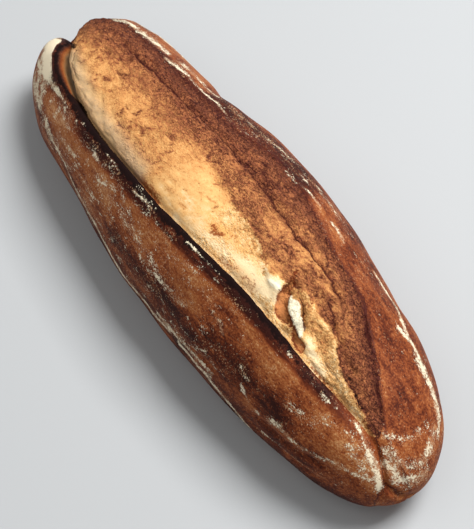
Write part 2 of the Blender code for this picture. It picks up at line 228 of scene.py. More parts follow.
# %% The ear's sections, and one read between stations
EAR_SECTIONS = {
    -171: ((-34, 0), (-18, 0), (-8, 0.6), (-5, 0.2), (-3, -1.4), (-1.4, -3.8), (-0.2, -6.2), (0.8, -6.8),
           (2, -5.6), (4, -1.8), (9, 0.4)),
    -165: ((-34, 0), (-18, 0.3), (-8, 1.2), (-5, 1.0), (-2.8, -0.4), (-1.2, -3.0), (0.1, -6.4), (1, -7.2),
           (2, -6.2), (3.8, -2.0), (9, 0.8)),
    -159: ((-34, 0), (-18, 0.6), (-8, 1.8), (-4, 2.2), (-1.6, 1.5), (0, -0.4), (1, -3.4), (1.8, -5.4),
           (2.8, -5.2), (4.6, -1.6), (9.5, 0.6)),
    -153: ((-34, 0), (-18, 0.8), (-8, 2.0), (-4, 2.7), (-1.4, 2.4), (0.4, 0.9), (2, -2.4), (3.8, -5.6),
           (6, -5.4), (8, -1.6), (12, 0.2)),
    -146: ((-34, 0), (-18, 0.9), (-8, 2.1), (-4, 2.9), (-1.4, 2.8), (0.4, 1.2), (2.2, -2.4), (4.6, -5.8),
           (7.4, -5.4), (9.4, -1.6), (13, 0.2)),
    -130: ((-34, 0), (-18, 1.0), (-8, 2.2), (-4, 3.0), (-1.2, 3.0), (0.7, 1.6), (1.8, -1.6), (3.6, -4.8),
           (5.6, -4.5), (7.4, -1.4), (11, 0)),
    -108: ((-34, 0), (-18, 1.1), (-8, 2.3), (-4, 3.1), (-1, 3.1), (0.9, 2.1), (1.2, 0.2), (1.5, -3.0),
           (2.8, -3.4), (4.6, -1.2), (9, 0)),
    -82: ((-34, 0), (-18, 1.2), (-8, 2.6), (-4, 3.4), (-0.8, 3.4), (1.3, 2.5), (1.8, 1.2), (1.0, -0.6),
          (1.6, -1.8), (3.6, -0.9), (8.5, 0)),
    0: ((-34, 0), (-18, 1.2), (-8, 2.7), (-4, 3.5), (-0.8, 3.5), (1.7, 2.6), (2.3, 1.4), (1.3, 0),
        (1.6, -1.3), (3.5, -0.8), (8, 0)),
    85: ((-34, 0), (-18, 1.1), (-8, 2.3), (-4, 2.9), (-0.8, 2.8), (1.3, 2.0), (1.8, 0.9), (1.0, -0.4),
         (1.4, -1.5), (3.3, -1.1), (8, 0)),
    112: ((-34, 0), (-18, 0.9), (-8, 1.7), (-3.8, 1.8), (-1.4, 1.4), (0.1, 0.7), (0.6, 0), (0.8, -0.8),
          (1.5, -1.2), (3.4, -0.8), (8, 0)),
    138: ((-34, 0), (-18, 0.9), (-8, 1.3), (-4, 0.9), (-2.1, 0.1), (-1, -0.8), (-0.4, -1.6), (0.2, -2.1),
          (1.2, -1.7), (3, -0.6), (8, 0.2)),
    160: ((-34, 0), (-18, 1.1), (-8, 1.5), (-4, 0.8), (-2.2, -0.4), (-1.2, -1.6), (-0.5, -2.6), (0.2, -3.1),
          (1.1, -2.5), (3, -0.6), (8, 0.8)),
    172: ((-34, 0), (-18, 0.2), (-8, 0.3), (-4, 0.2), (-2.4, 0), (-1.4, -0.3), (-0.7, -0.6), (0.2, -0.7),
          (1.1, -0.5), (3, -0.1), (8, 0)),
}
FULL_RING = 90 * MM  # a ring with less outline than this carries a smaller ear, down to none at the tips


def ear_section(x):
    """The ear's section at x as (across, above) in metres: the stations' sections blended point by point."""
    stations = np.array(sorted(EAR_SECTIONS), float) * MM
    corners = np.array([EAR_SECTIONS[s] for s in sorted(EAR_SECTIONS)], float) * MM
    k = int(np.clip(np.searchsorted(stations, x) - 1, 0, len(stations) - 2))
    share = ease(stations[k], stations[k + 1], x)
    return corners[k] * (1 - share) + corners[k + 1] * share


def rounded(corners, count):
    """A smooth run of points through the corners, closest round the lip, and each point's corner number."""
    steps = np.linalg.norm(np.diff(corners, axis=0), axis=1)
    knots = np.concatenate([[0], np.cumsum(np.sqrt(steps))])
    fine = np.linspace(0, knots[-1], 20 * count)
    run = np.stack([spline(knots, corners[:, k], fine) for k in (0, 1)], axis=1)
    crowding = 1 + 3 * valley(run[1:, 0] - 2 * MM, 7 * MM)
    weight = np.concatenate([[0], np.cumsum(np.linalg.norm(np.diff(run, axis=0), axis=1) * crowding)])
    places = np.interp(np.linspace(0, weight[-1], count), weight, fine)
    numbers = np.interp(places, knots, np.arange(len(corners)))
    return np.stack([np.interp(places, fine, run[:, k]) for k in (0, 1)], axis=1), numbers


lip = ear_section(0.0)
print("lip at the middle overhangs the groove by", round(float(lip[6, 0] - lip[7, 0]) / MM, 2), "mm")

# %% [markdown]
# ## The torn band
#
# Inside the score the crumb pushed up and tore. It swells across its width, dips just inside the skin's
# edge, folds along the crease and steps down beside the palest dough. Near the closing end a few strands
# stretched across the gap. Each strand is a short line with a width and a height, and one function measures
# how far any place is from it.

# %% The band's sizes, strands and tucks
SWELL = ((-175, 0), (-165, 3.0), (-150, 4.0), (-125, 4.4), (-60, 3.8), (0, 3.2), (60, 2.6), (105, 1.6),
         (135, 0.8), (175, 0))
SKIN_STEP = {"depth": 1.1 * MM, "width": 3.8 * MM}  # the band dips just inside the skin's edge
CREASE = {"depth": 1.3 * MM, "width": 2.4 * MM}
STEP = {"depth": 1.4 * MM, "width": 3.0 * MM}
SHOULDER = {"height": 0.8 * MM, "width": 5.0 * MM}

# Each strand: a line of (x, y), its width and its height, in millimetres. A negative height is a tear.
STRANDS = (
    (((50, -7), (62, -9), (65, -16)), 4.0, 0.9),
    (((64, 1), (67, -6), (69, -13), (74, -19)), 2.8, -2.0),
    (((70, -10), (80, -11), (90, -15)), 2.6, 1.3),
    (((82, -8), (87, -14), (89, -18)), 2.4, -1.4),
    (((92, -13), (101, -14), (108, -16)), 3.2, 1.0),
    (((64, -4), (85, -5), (92, -3), (100, -4), (109, -7), (116, -9), (130, -10)), 2.6, 1.4),
    (((104, -1), (116, -5), (129, -6), (136, -7)), 2.2, -1.3),
    (((56, 9), (82, 8), (99, 5), (111, 1), (126, -2), (140, -5)), 6.5, 1.1),
)
# Tucks round the nose, where the seam's two sides were pinched: a line of (x, y, z), its width and depth.
TUCKS = (
    (((167, -17, 40), (168, -20, 32), (167, -20, 16)), 2.2, 1.5),
    (((167, -17, 40), (171, -15, 34), (174, -11, 28), (175, -2, 22)), 2.2, 1.5),
)
# The notch between the -X end's two lobes: a wide dent along a line of (x, y, z), in millimetres. It dies
# out towards the sole and, along the line, towards the groove.
CLEFT = {
    "line": ((-178, -5, 24), (-170, 1, 44), (-156, -9, 57), (-146, -18, 60)),
    "width": 10.4,
    "depth": 9.0,
}
CLEFT_FOOT = (6 * MM, 30 * MM)  # it fades in between these heights
# Slow unevenness of the hand-shaped dough: wavelength along X, wavelength across, height and phase.
LUMPS = (
    (96 * MM, 82 * MM, 0.7 * MM, 0.4),
    (61 * MM, 60 * MM, 0.4 * MM, 2.1),
    (39 * MM, 44 * MM, 0.25 * MM, 4.0),
)
print("strands and tears:", len(STRANDS), " tucks:", len(TUCKS), " slow waves:", len(LUMPS))


# %% Distances to lines, and the heights they give
def off_line(line, places):
    """Distance from each place to a line of points in millimetres, and the share of the line passed."""
    corners = np.array(line, float) * MM
    runs = np.diff(corners, axis=0)
    starts = np.concatenate([[0], np.cumsum(np.linalg.norm(runs, axis=1))])
    nearest = np.full(len(places), np.inf)
    place = np.zeros(len(places))
    for corner, run, start in zip(corners, runs, starts):
        share = np.clip((places - corner) @ run / (run @ run), 0, 1)
        off = np.linalg.norm(places - corner - share[:, None] * run, axis=1)
        place = np.where(off < nearest, start + share * np.linalg.norm(run), place)
        nearest = np.minimum(off, nearest)
    return nearest, place / starts[-1]


def ridge_height(lines, places):
    """Height at some places of ridges along lines of points. A ridge fades towards both its ends."""
    total = np.zeros(len(places))
    for line, width, height in lines:
        nearest, place = off_line(line, places)
        fade = ease(-0.1, 0.2, place) * (1 - ease(0.8, 1.1, place))
        total += height * MM * fade * valley(nearest, width * MM)
    return total


def cleft_depth(places):
    """How deep the notch between the two lobes is at some places."""
    nearest, place = off_line(CLEFT["line"], places)
    fade = ease(*CLEFT_FOOT, places[:, 2]) * (1 - ease(0.7, 1.1, place))
    return CLEFT["depth"] * MM * fade * valley(nearest, CLEFT["width"] * MM)


def lump_height(x, across):
    """The hand-shaped dough's slow unevenness."""
    total = np.zeros_like(across)
    for long, wide, height, phase in LUMPS:
        wave_along = np.sin(2 * math.pi * x / long + phase)
        total += height * wave_along * np.cos(2 * math.pi * across / wide + 2 * phase)
    return total


def band_height(base, across, width):
    """Height of the torn band over the dome, across it from the score (0) to the skin's edge (width)."""
    x, y = base[0, 0], base[:, 1]
    share = np.clip(across / max(width, 1 * MM), 0, 1)
    inside = ease(0, 4 * MM, across) * (1 - ease(width - 2 * MM, width + 2 * MM, across))
    total = read_line(SWELL, x) * np.sin(math.pi * share**0.8) ** 0.8
    total -= SKIN_STEP["depth"] * valley(across - width + SKIN_STEP["width"], SKIN_STEP["width"])
    crease_ends = ease(-145 * MM, -115 * MM, x) * (1 - ease(85 * MM, 112 * MM, x))
    total -= CREASE["depth"] * crease_ends * valley(y - read_line(CREASE_LINE, x), CREASE["width"])
    step_ends = ease(-50 * MM, -10 * MM, x) * (1 - ease(95 * MM, 125 * MM, x))
    below_step = 1 - ease(-STEP["width"], STEP["width"], y - read_line(STEP_LINE, x))
    total -= STEP["depth"] * step_ends * below_step
    return inside * (total + ease(1 * MM, 6 * MM, across) * ridge_height(STRANDS, base[:, :2]))


probe = np.array([[0.08, -0.0105], [0.08, 0.03]])
print("strand height at two places, mm:", np.round(ridge_height(STRANDS, probe) / MM, 2))

# %% [markdown]
# ## Lofting the rings
#
# Each ring starts as a dome outline measured by its own length. The score's place on it fixes the ear, and
# the points are shared out so that the lip gets one every third of a millimetre and the hidden sole gets
# few. The torn edge of a lip is never ruled straight, so here it also wanders a little, which the plain
# solid leaves out.

# %% How a ring's points are shared out, and how the lip wanders
SOLE_POINTS = 7
EAR_FLANK_POINTS = 44
EAR_POINTS = 64
TOP_POINTS = 110
SMALLEST_SOLE = 0.03  # the sole's part of a ring next to the tips, as a share of its outline

# The ear's corners are numbered from the flank: 4 is the lip's top, 5 and 6 its edge, 8 the groove's bottom.
LIP_CORNER = 5
LIP_REACH = 1.6  # corners on each side that wander with the lip's edge
# The wandering across (axis 0) and up (axis 1): how far, the waves' length, both in mm, and a seed.
LIP_WANDER = ((0, 0.5, 9, 1), (0, 0.35, 3.5, 2), (1, 0.4, 14, 3), (1, 0.2, 4.5, 4))
BAND_CORNERS = (8.3, 9.0)  # the band's own height fades in between these corners


def wander(x, size, seed):
    """Smooth wandering between about -1 and 1 along the loaf."""
    return noise.noise(Vector((x / size, seed * 7.31, 0.5)))


ring_size = 2 * SOLE_POINTS - 1 + EAR_FLANK_POINTS + EAR_POINTS + TOP_POINTS
print("each ring has", ring_size, "points,", EAR_POINTS, "of them on the ear")


# %% One ring of the loft
def ring_points(outline, normals):
    """One ring from the sole's middle up the -Y flank, over the ear and the top: points and measures."""
    x = outline[0, 0]
    length = np.concatenate([[0], np.cumsum(np.linalg.norm(np.diff(outline, axis=0), axis=1))])
    total = length[-1]
    first, last = np.argmin(outline[:, 1]), np.argmax(outline[:, 1])
    top_y, top_length = outline[first : last + 1, 1], length[first : last + 1]
    score = float(np.interp(read_line(SCORE_LINE, x), top_y, top_length))
    skin = float(np.interp(read_line(SKIN_LINE, x), top_y, top_length))
    raised = np.nonzero(outline[:, 2] > 0)[0]
    sole_left = max(length[raised[0]], SMALLEST_SOLE * total)
    sole_right = min(length[raised[-1]], (1 - SMALLEST_SOLE) * total)
    size = min(1.0, total / FULL_RING)

    ear, numbers = rounded(ear_section(x), EAR_POINTS)
    lip_share = valley(numbers - LIP_CORNER, LIP_REACH)
    for axis, amount, wave, seed in LIP_WANDER:
        ear[:, axis] += lip_share * amount * wander(x, wave * MM, seed) * MM
    ear *= size
    ear_start, ear_end = score + ear[0, 0], score + ear[-1, 0]
    share = np.linspace(0, 1, TOP_POINTS + 1)[1:]
    places = np.concatenate([
        np.linspace(0, sole_left, SOLE_POINTS + 1)[:-1],
        np.linspace(sole_left, max(ear_start, sole_left + 2 * MM * size), EAR_FLANK_POINTS + 1)[:-1],
        score + ear[:, 0],
        ear_end + (sole_right - ear_end) * (0.75 * share + 0.25 * share**2),
        np.linspace(sole_right, total, SOLE_POINTS + 1)[1:-1],
    ])
    before = SOLE_POINTS + EAR_FLANK_POINTS
    above, corner = np.zeros(len(places)), np.zeros(len(places))
    above[before : before + EAR_POINTS] = ear[:, 1]
    corner[before : before + EAR_POINTS] = numbers
    corner[before + EAR_POINTS :] = numbers[-1]

    base = np.stack([np.interp(places, length, outline[:, k]) for k in range(3)], axis=1)
    normal = np.stack([np.interp(places, length, normals[:, k]) for k in range(3)], axis=1)
    normal /= np.linalg.norm(normal, axis=1, keepdims=True)
    across = places - score
    width = max(skin - score, 0.0)
    above += size * ease(*BAND_CORNERS, corner) * band_height(base, across, width)
    clear_of_sole = ease(4 * MM, 22 * MM, base[:, 2])
    shoulder_ends = ease(-150 * MM, -110 * MM, x) * (1 - ease(110 * MM, 150 * MM, x))
    on_shoulder = (across < -8 * MM) * valley(base[:, 1] - read_line(SHOULDER_LINE, x), SHOULDER["width"])
    shoulder = SHOULDER["height"] * shoulder_ends * on_shoulder
    above += clear_of_sole * (shoulder + size * lump_height(x, across))
    above -= ridge_height(TUCKS, base) + cleft_depth(base)
    return base + normal * above[:, None], across, width, corner


middle_ring = ring_points(outlines[RINGS // 2], dome_normals[RINGS // 2])
print("middle ring: torn band", round(middle_ring[2] / MM, 1), "mm wide")

# %% Loft all the rings
lofted = [ring_points(outline, normals) for outline, normals in zip(outlines, dome_normals)]
points = np.array([ring[0] for ring in lofted])
across = np.array([ring[1] for ring in lofted])
width = np.array([ring[2] for ring in lofted])[:, None]
corner = np.array([ring[3] for ring in lofted])
x, y, z = points[..., 0], points[..., 1], points[..., 2]
print("loft:", points.shape[0], "rings of", points.shape[1], "points")

# %% [markdown]
# ## Masks: what kind of crust lies where
#
# Relief and colour should agree, so both read the same measures. Each is one number for each point: how
# deep inside the torn band it lies, how far from the crease, which corner of the ear's section it belongs
# to. Signed distances are better than painted masks, because they stay sharp between the points when a
# shader cuts them at zero.

# %% Measures in millimetres, on the whole loft
upper = ease(18 * MM, 30 * MM, z)
in_band = np.where(corner > 7.1, np.minimum(across, width - across), np.minimum(across, -0.5 * MM)) / MM
in_band -= 9 * ease(143 * MM, 158 * MM, x)  # the band has closed before the nose
torn = ease(-0.5, 1.5, in_band) * upper
to_skin = (width - across) / MM
off_crease = (y - read_line(CREASE_LINE, x)) / MM
off_step = (y - read_line(STEP_LINE, x)) / MM
print("torn band covers", round(float((torn > 0.5).mean()) * 100), "% of the points")


# %% Noise on the loft
def dough_noise(places, size, seed, octaves=1):
    """Smooth noise between about -1 and 1, its blobs' size in metres as one number or as (x, y, z)."""
    scaled = (places / np.asarray(size) + seed * 3.17).reshape(-1, 3).tolist()
    if octaves == 1:
        found = [noise.noise(place) for place in scaled]
    else:
        found = [noise.fractal(place, 0.8, 2.1, octaves) for place in scaled]
    return np.array(found).reshape(places.shape[:-1])


# The last dough to come up is paler and smoother: two masks along the loaf, and one across it too.
cream_ends = ease(-60 * MM, -5 * MM, x) * (1 - ease(58 * MM, 72 * MM, x))
silky_ends = ease(-85 * MM, -40 * MM, x) * (1 - ease(58 * MM, 72 * MM, x))
silky = silky_ends * (1 - ease(-5, 2, off_step))
rough_blobs = dough_noise(points, (7 * MM, 4 * MM, 4 * MM), 1, octaves=4)
fissure_field = dough_noise(points, (17 * MM, 7 * MM, 7 * MM), 2, octaves=3)
broken = dough_noise(points, (14 * MM, 9 * MM, 9 * MM), 7)
folds = dough_noise(points, (34 * MM, 4 * MM, 6 * MM), 8, octaves=2)
skin_waves = dough_noise(points, 13 * MM, 3)
skin_dimples = dough_noise(points, 4.5 * MM, 4)
line_wiggle = dough_noise(points, 5 * MM, 5) + 0.5 * dough_noise(points, 2.2 * MM, 6)
spreads = [round(float(np.ptp(field)), 2) for field in (rough_blobs, fissure_field, skin_waves)]
print("spread of three of the noises:", spreads)

# %% [markdown]
# ## Fine relief
#
# The torn dough is rough like coarse bread: lumps a few millimetres long, drawn out along the loaf, and
# thin fissures between them. The fissures are where one noise field crosses zero, which gives long
# wandering lines that never repeat. The smooth skin only waves a little. Everything moves along the
# surface's own normals.

# %% Folds and cracks drawn one by one, besides the random ones
# Each is a line of (x, y) or (x, y, z), its width and its depth, all in mm.
FLANK_FOLDS = (  # low on the ear's side, where the proofing cloth creased the skin
    (((26, -58, 34), (42, -57, 37), (58, -55, 41), (70, -53, 42)), 1.7, 1.2),
    (((96, -50, 37), (112, -47, 38), (128, -43, 38), (142, -36, 39), (156, -28, 37)), 1.8, 1.3),
    (((90, -52, 27), (112, -49, 28), (132, -43, 28), (150, -34, 28)), 1.8, 1.1),
    (((-104, -50, 42), (-80, -53, 40), (-52, -57, 36), (-26, -59, 33)), 1.5, 0.8),
)
CRACKS = (
    (((-136, 7), (-129, 7), (-122, 6), (-118, 8)), 0.9, 0.5),
    (((-111, 10), (-104, 10), (-98, 12), (-92, 12)), 1.2, 0.9),
    (((-81, 11), (-75, 11), (-66, 9), (-56, 9)), 1.0, 0.5),
    (((-6, 24), (3, 22), (10, 19), (13, 20)), 1.2, 0.8),
    (((-12, 5), (-1, 1), (10, -1), (18, 0)), 1.0, 0.35),
    (((8, 3), (17, 2), (25, 1), (36, -2)), 0.9, 0.35),
    (((-128, -17), (-122, -17), (-122, -13), (-123, -8)), 0.9, 0.4),
    (((-139, -12), (-134, -13), (-131, -16), (-129, -19), (-122, -22), (-114, -24)), 0.9, 0.5),
    (((70, -4), (77, -6), (83, -9), (89, -13)), 0.9, 0.8),
    (((89, -8), (97, -10), (104, -12), (114, -14)), 0.8, 0.4),
    (((112, -8), (115, -9), (119, -9), (127, -9), (133, -9), (140, -9)), 2.2, 0.9),
    (((140, -9), (145, -9), (150, -11)), 0.9, 0.5),
    (((145, -9, 55), (149, -11, 53), (153, -11, 49), (158, -14, 45), (163, -16, 40), (166, -17, 35),
      (169, -19, 28)),
     1.8, 0.9),
    (((164, -16, 37), (169, -14, 34), (172, -12, 30), (174, -8, 27)), 2.0, 0.9),
    (((165, -17, 37), (167, -21, 32), (168, -23, 25), (168, -24, 19)), 1.6, 0.9),
    (((76, 27), (88, 25), (98, 19), (105, 15), (121, 10), (130, 3), (136, 0), (142, -3),
      (147, -6)), 1.5, 0.9),
    (((80, 7), (87, 5), (92, 3), (99, -2)), 1.5, 0.8),
    (((103, -3), (110, -6), (114, -9)), 1.5, 0.8),
    (((-17, 17), (-12, 17), (-9, 19), (0, 20)), 1.6, 1.0),
    (((-9, 28), (-2, 27), (3, 22), (9, 19), (13, 21)), 0.9, 0.6),
    (((8, 31), (15, 27), (20, 22), (26, 23), (30, 26)), 0.9, 0.5),
    (((38, 19), (37, 25), (44, 27), (50, 24)), 0.9, 0.5),
    (((53, 22), (56, 24), (60, 23), (64, 19), (67, 15)), 0.9, 0.6),
    (((54, 3), (60, 5), (66, 5), (77, 5)), 0.9, 0.4),
    (((82, 13), (92, 10), (96, 6), (103, 6)), 0.9, 0.5),
    (((80, 9), (88, 5), (94, 0)), 1.0, 0.6),
    (((86, 1), (94, 1), (101, 0), (108, -2)), 1.0, 0.5),
)
print("drawn by hand:", len(FLANK_FOLDS), "folds and", len(CRACKS), "cracks")

# %% [markdown]
# ## Strands and gaps
#
# Near the closing end the last dough stretched until it parted. It left thin raised strands, small
# leaf-shaped gaps between them, and two fresh strands that are nearly white. A gap's side has to be steep
# and its edge crisp. So each is measured as a distance to the patch's outline, negative inside, which the
# relief and the shader can both cut.

# %% Strands and gaps drawn one by one
# Each is a line of (x, y), its width and its height, all in mm. A negative height is a tear.
FINE_STRANDS = (
    (((70, -4), (77, -6), (83, -9), (89, -13)), 1.0, -1.1),
    (((46, -8), (55, -10), (62, -10), (66, -13)), 2.3, 1.0),
    (((73, -1), (81, -5), (87, -10)), 2.0, 0.6),
    (((92, -12), (98, -14), (104, -15)), 2.6, -0.6),
    (((66, 0), (77, -1), (87, -3), (99, -2), (105, -6), (114, -10), (126, -12)), 1.5, 1.0),
    (((100, 2), (106, -2), (115, -6), (125, -9)), 1.8, -1.0),
    (((104, -18), (110, -16), (117, -16)), 1.4, 0.7),
)
# Leaf-shaped patches with a crisp edge: a line, the greatest half width and the height, in mm.
GAPS = (
    (((60, 2), (64, -3), (67, -9)), 1.5, -1.1),
    (((64, -5), (67, -11), (71, -15), (79, -17)), 3.3, -1.6),
    (((71, -13), (76, -14), (82, -16)), 1.3, -0.8),
    (((82, -15), (87, -17), (95, -19)), 2.1, -0.8),
)
LAST_STRANDS = (
    (((67, -8), (75, -10), (82, -12), (90, -15)), 2.9, 1.3),
    (((55, -12), (60, -11), (65, -10)), 1.6, 0.6),
)
LEAF_EDGE = 0.8  # half the run of a patch's side wall, in mm
LEAF_RAGGEDNESS = 0.9  # how far a patch's outline wanders, in mm
print("drawn by hand:", len(FINE_STRANDS) + len(LAST_STRANDS), "strands and", len(GAPS), "gaps")

# %% [markdown]
# ## Lines thinner than the mesh
#
# A crack is thinner than the gaps between the mesh's points, so a mask of it would come out as a row of
# beads. Each point holds its signed distance to the crack's line instead. That number runs evenly through
# zero, so it stays true between the points, and the shader can cut a line of any thinness out of it.

# %% How cracks fade, and how sharp the crease and the rim are
SHARP_CREASE = {"depth": 1.2 * MM, "width": 0.8}  # the crease's own thin line, its width in mm
SHARP_RIM = {"height": 0.45 * MM, "width": 1.3}  # the skin's raised edge beside the band
CREASE_HALF_WIDTH = 1.3  # of the crease's dark line, in mm
CRACK_END = 4.0  # how far a crack's line seems to lie off at its faded ends, in mm
DEEP_CRACK = 0.9  # a crack this deep, in mm, is as dark as the crease
CRACK_FADING = 3.4  # how much farther off a crack seems for each mm that it is shallower than a deep one
LINE_WANDER = 0.7  # how far a drawn line wanders, in mm
finest = min(depth for _, _, depth in CRACKS)
print("the finest crack seems", round(CRACK_FADING * (DEEP_CRACK - finest), 1), "mm farther off than it is")


# %% Distances to cracks and patches
def side_of(line, places):
    """+1 or -1 for the side of a line, seen from above, that each place lies on."""
    corners = np.array(line, float)[:, :2] * MM
    nearest, side = np.full(len(places), np.inf), np.ones(len(places))
    for corner, run in zip(corners, np.diff(corners, axis=0)):
        away = places[:, :2] - corner
        share = np.clip(away @ run / (run @ run), 0, 1)
        off = np.linalg.norm(away - share[:, None] * run, axis=1)
        side = np.where(off < nearest, np.sign(run[0] * away[:, 1] - run[1] * away[:, 0]), side)
        nearest = np.minimum(nearest, off)
    return side


def nearest_crack(places, first):
    """Two distances from each place to the nearest crack, both starting from a first pair.

    One is in mm and grows where the crack fades out. The other is signed, in half widths of the crack, and
    passes through zero on its line.
    """
    nearest, signed = first
    for line, crack_width, depth in CRACKS:
        off, place = off_line(line, places[:, : len(line[0])])
        fade = ease(0, 0.15, place) * (1 - ease(0.85, 1, place))
        seen_off = off / MM + CRACK_END * (1 - fade) + CRACK_FADING * (DEEP_CRACK - depth)
        signed = np.where(seen_off < nearest, side_of(line, places) * off / MM / crack_width, signed)
        nearest = np.minimum(nearest, seen_off)
    return nearest.reshape(x.shape), signed.reshape(x.shape)


def leaves(patches, places):
    """Distance in mm to the nearest patch's outline, negative inside, and the height the patches add."""
    nearest, height = np.full(len(places), 99.0), np.zeros(len(places))
    for line, half_width, rise in patches:
        off, place = off_line(line, places)
        leaf_half = half_width * np.sqrt(4 * place * (1 - place))
        signed = off / MM - leaf_half + LEAF_RAGGEDNESS * line_wiggle.ravel()
        height += rise * MM * (1 - ease(-LEAF_EDGE, LEAF_EDGE, signed))
        nearest = np.minimum(nearest, signed)
    return nearest.reshape(x.shape), height.reshape(x.shape)


below_crack = np.array([[-104 * MM, 0.0, 0.0]])
print("a place on the ear's side of a crack has side", float(side_of(CRACKS[1][0], below_crack)[0]))

# %% Measure the gaps, strands, cracks and fissures
wiggled = points + (line_wiggle * LINE_WANDER * MM)[..., None]
to_gap, gap_height = leaves(GAPS, wiggled[..., :2].reshape(-1, 2))
to_strand, strand_height = leaves(LAST_STRANDS, wiggled[..., :2].reshape(-1, 2))
cracks_from_above = [crack for crack in CRACKS if len(crack[0][0]) == 2]
crack_depth = ridge_height(cracks_from_above, wiggled[..., :2].reshape(-1, 2)).reshape(x.shape)
fissures = torn * valley(fissure_field, 0.06) * ease(0, 4, to_skin) * ease(-0.15, 0.15, broken)
fissures *= ease(3 * MM, 16 * MM, across)
crease_ends = ease(-133 * MM, -112 * MM, x) * (1 - ease(75 * MM, 100 * MM, x))
crease_line = off_crease + LINE_WANDER * line_wiggle
crease_groove = torn * crease_ends * valley(crease_line, SHARP_CREASE["width"])
creased = (np.abs(crease_line) + CRACK_END * (1 - crease_ends), crease_line / CREASE_HALF_WIDTH)
to_crack, crack_side = nearest_crack(wiggled.reshape(-1, 3), [field.ravel() for field in creased])
rim = upper * valley(to_skin + 0.8 + 0.5 * line_wiggle, SHARP_RIM["width"]) * ease(6 * MM, 16 * MM, width)
print("points in gaps:", int((to_gap < 0).sum()), " in fresh strands:", int((to_strand < 0).sum()))

# %% Press the relief into the loft
near_crease = ease(-22, -4, off_crease)
calm_end = 1 - 0.6 * (1 - ease(-168 * MM, -140 * MM, x))  # the far end tore less roughly
lumps = (0.75 + 0.35 * near_crease) * (1 - 0.7 * silky) * rough_blobs + 0.7 * near_crease * folds
relief = torn * calm_end * lumps * MM
relief -= torn * 0.5 * fissures * (1 - 0.5 * silky) * MM
relief += (1 - torn) * upper * (0.10 * skin_waves + 0.05 * skin_dimples) * MM
relief -= torn * crack_depth + SHARP_CREASE["depth"] * crease_groove
relief -= ridge_height(FLANK_FOLDS, points.reshape(-1, 3)).reshape(x.shape)
relief += torn * ridge_height(FINE_STRANDS, wiggled[..., :2].reshape(-1, 2)).reshape(x.shape)
relief += torn * (gap_height + strand_height)
relief += SHARP_RIM["height"] * rim
surface = points + outward(points) * (relief * ease(3 * MM, 12 * MM, z))[..., None]
print("fine relief, mm:", round(float(relief.min()) / MM, 2), "to", round(float(relief.max()) / MM, 2))
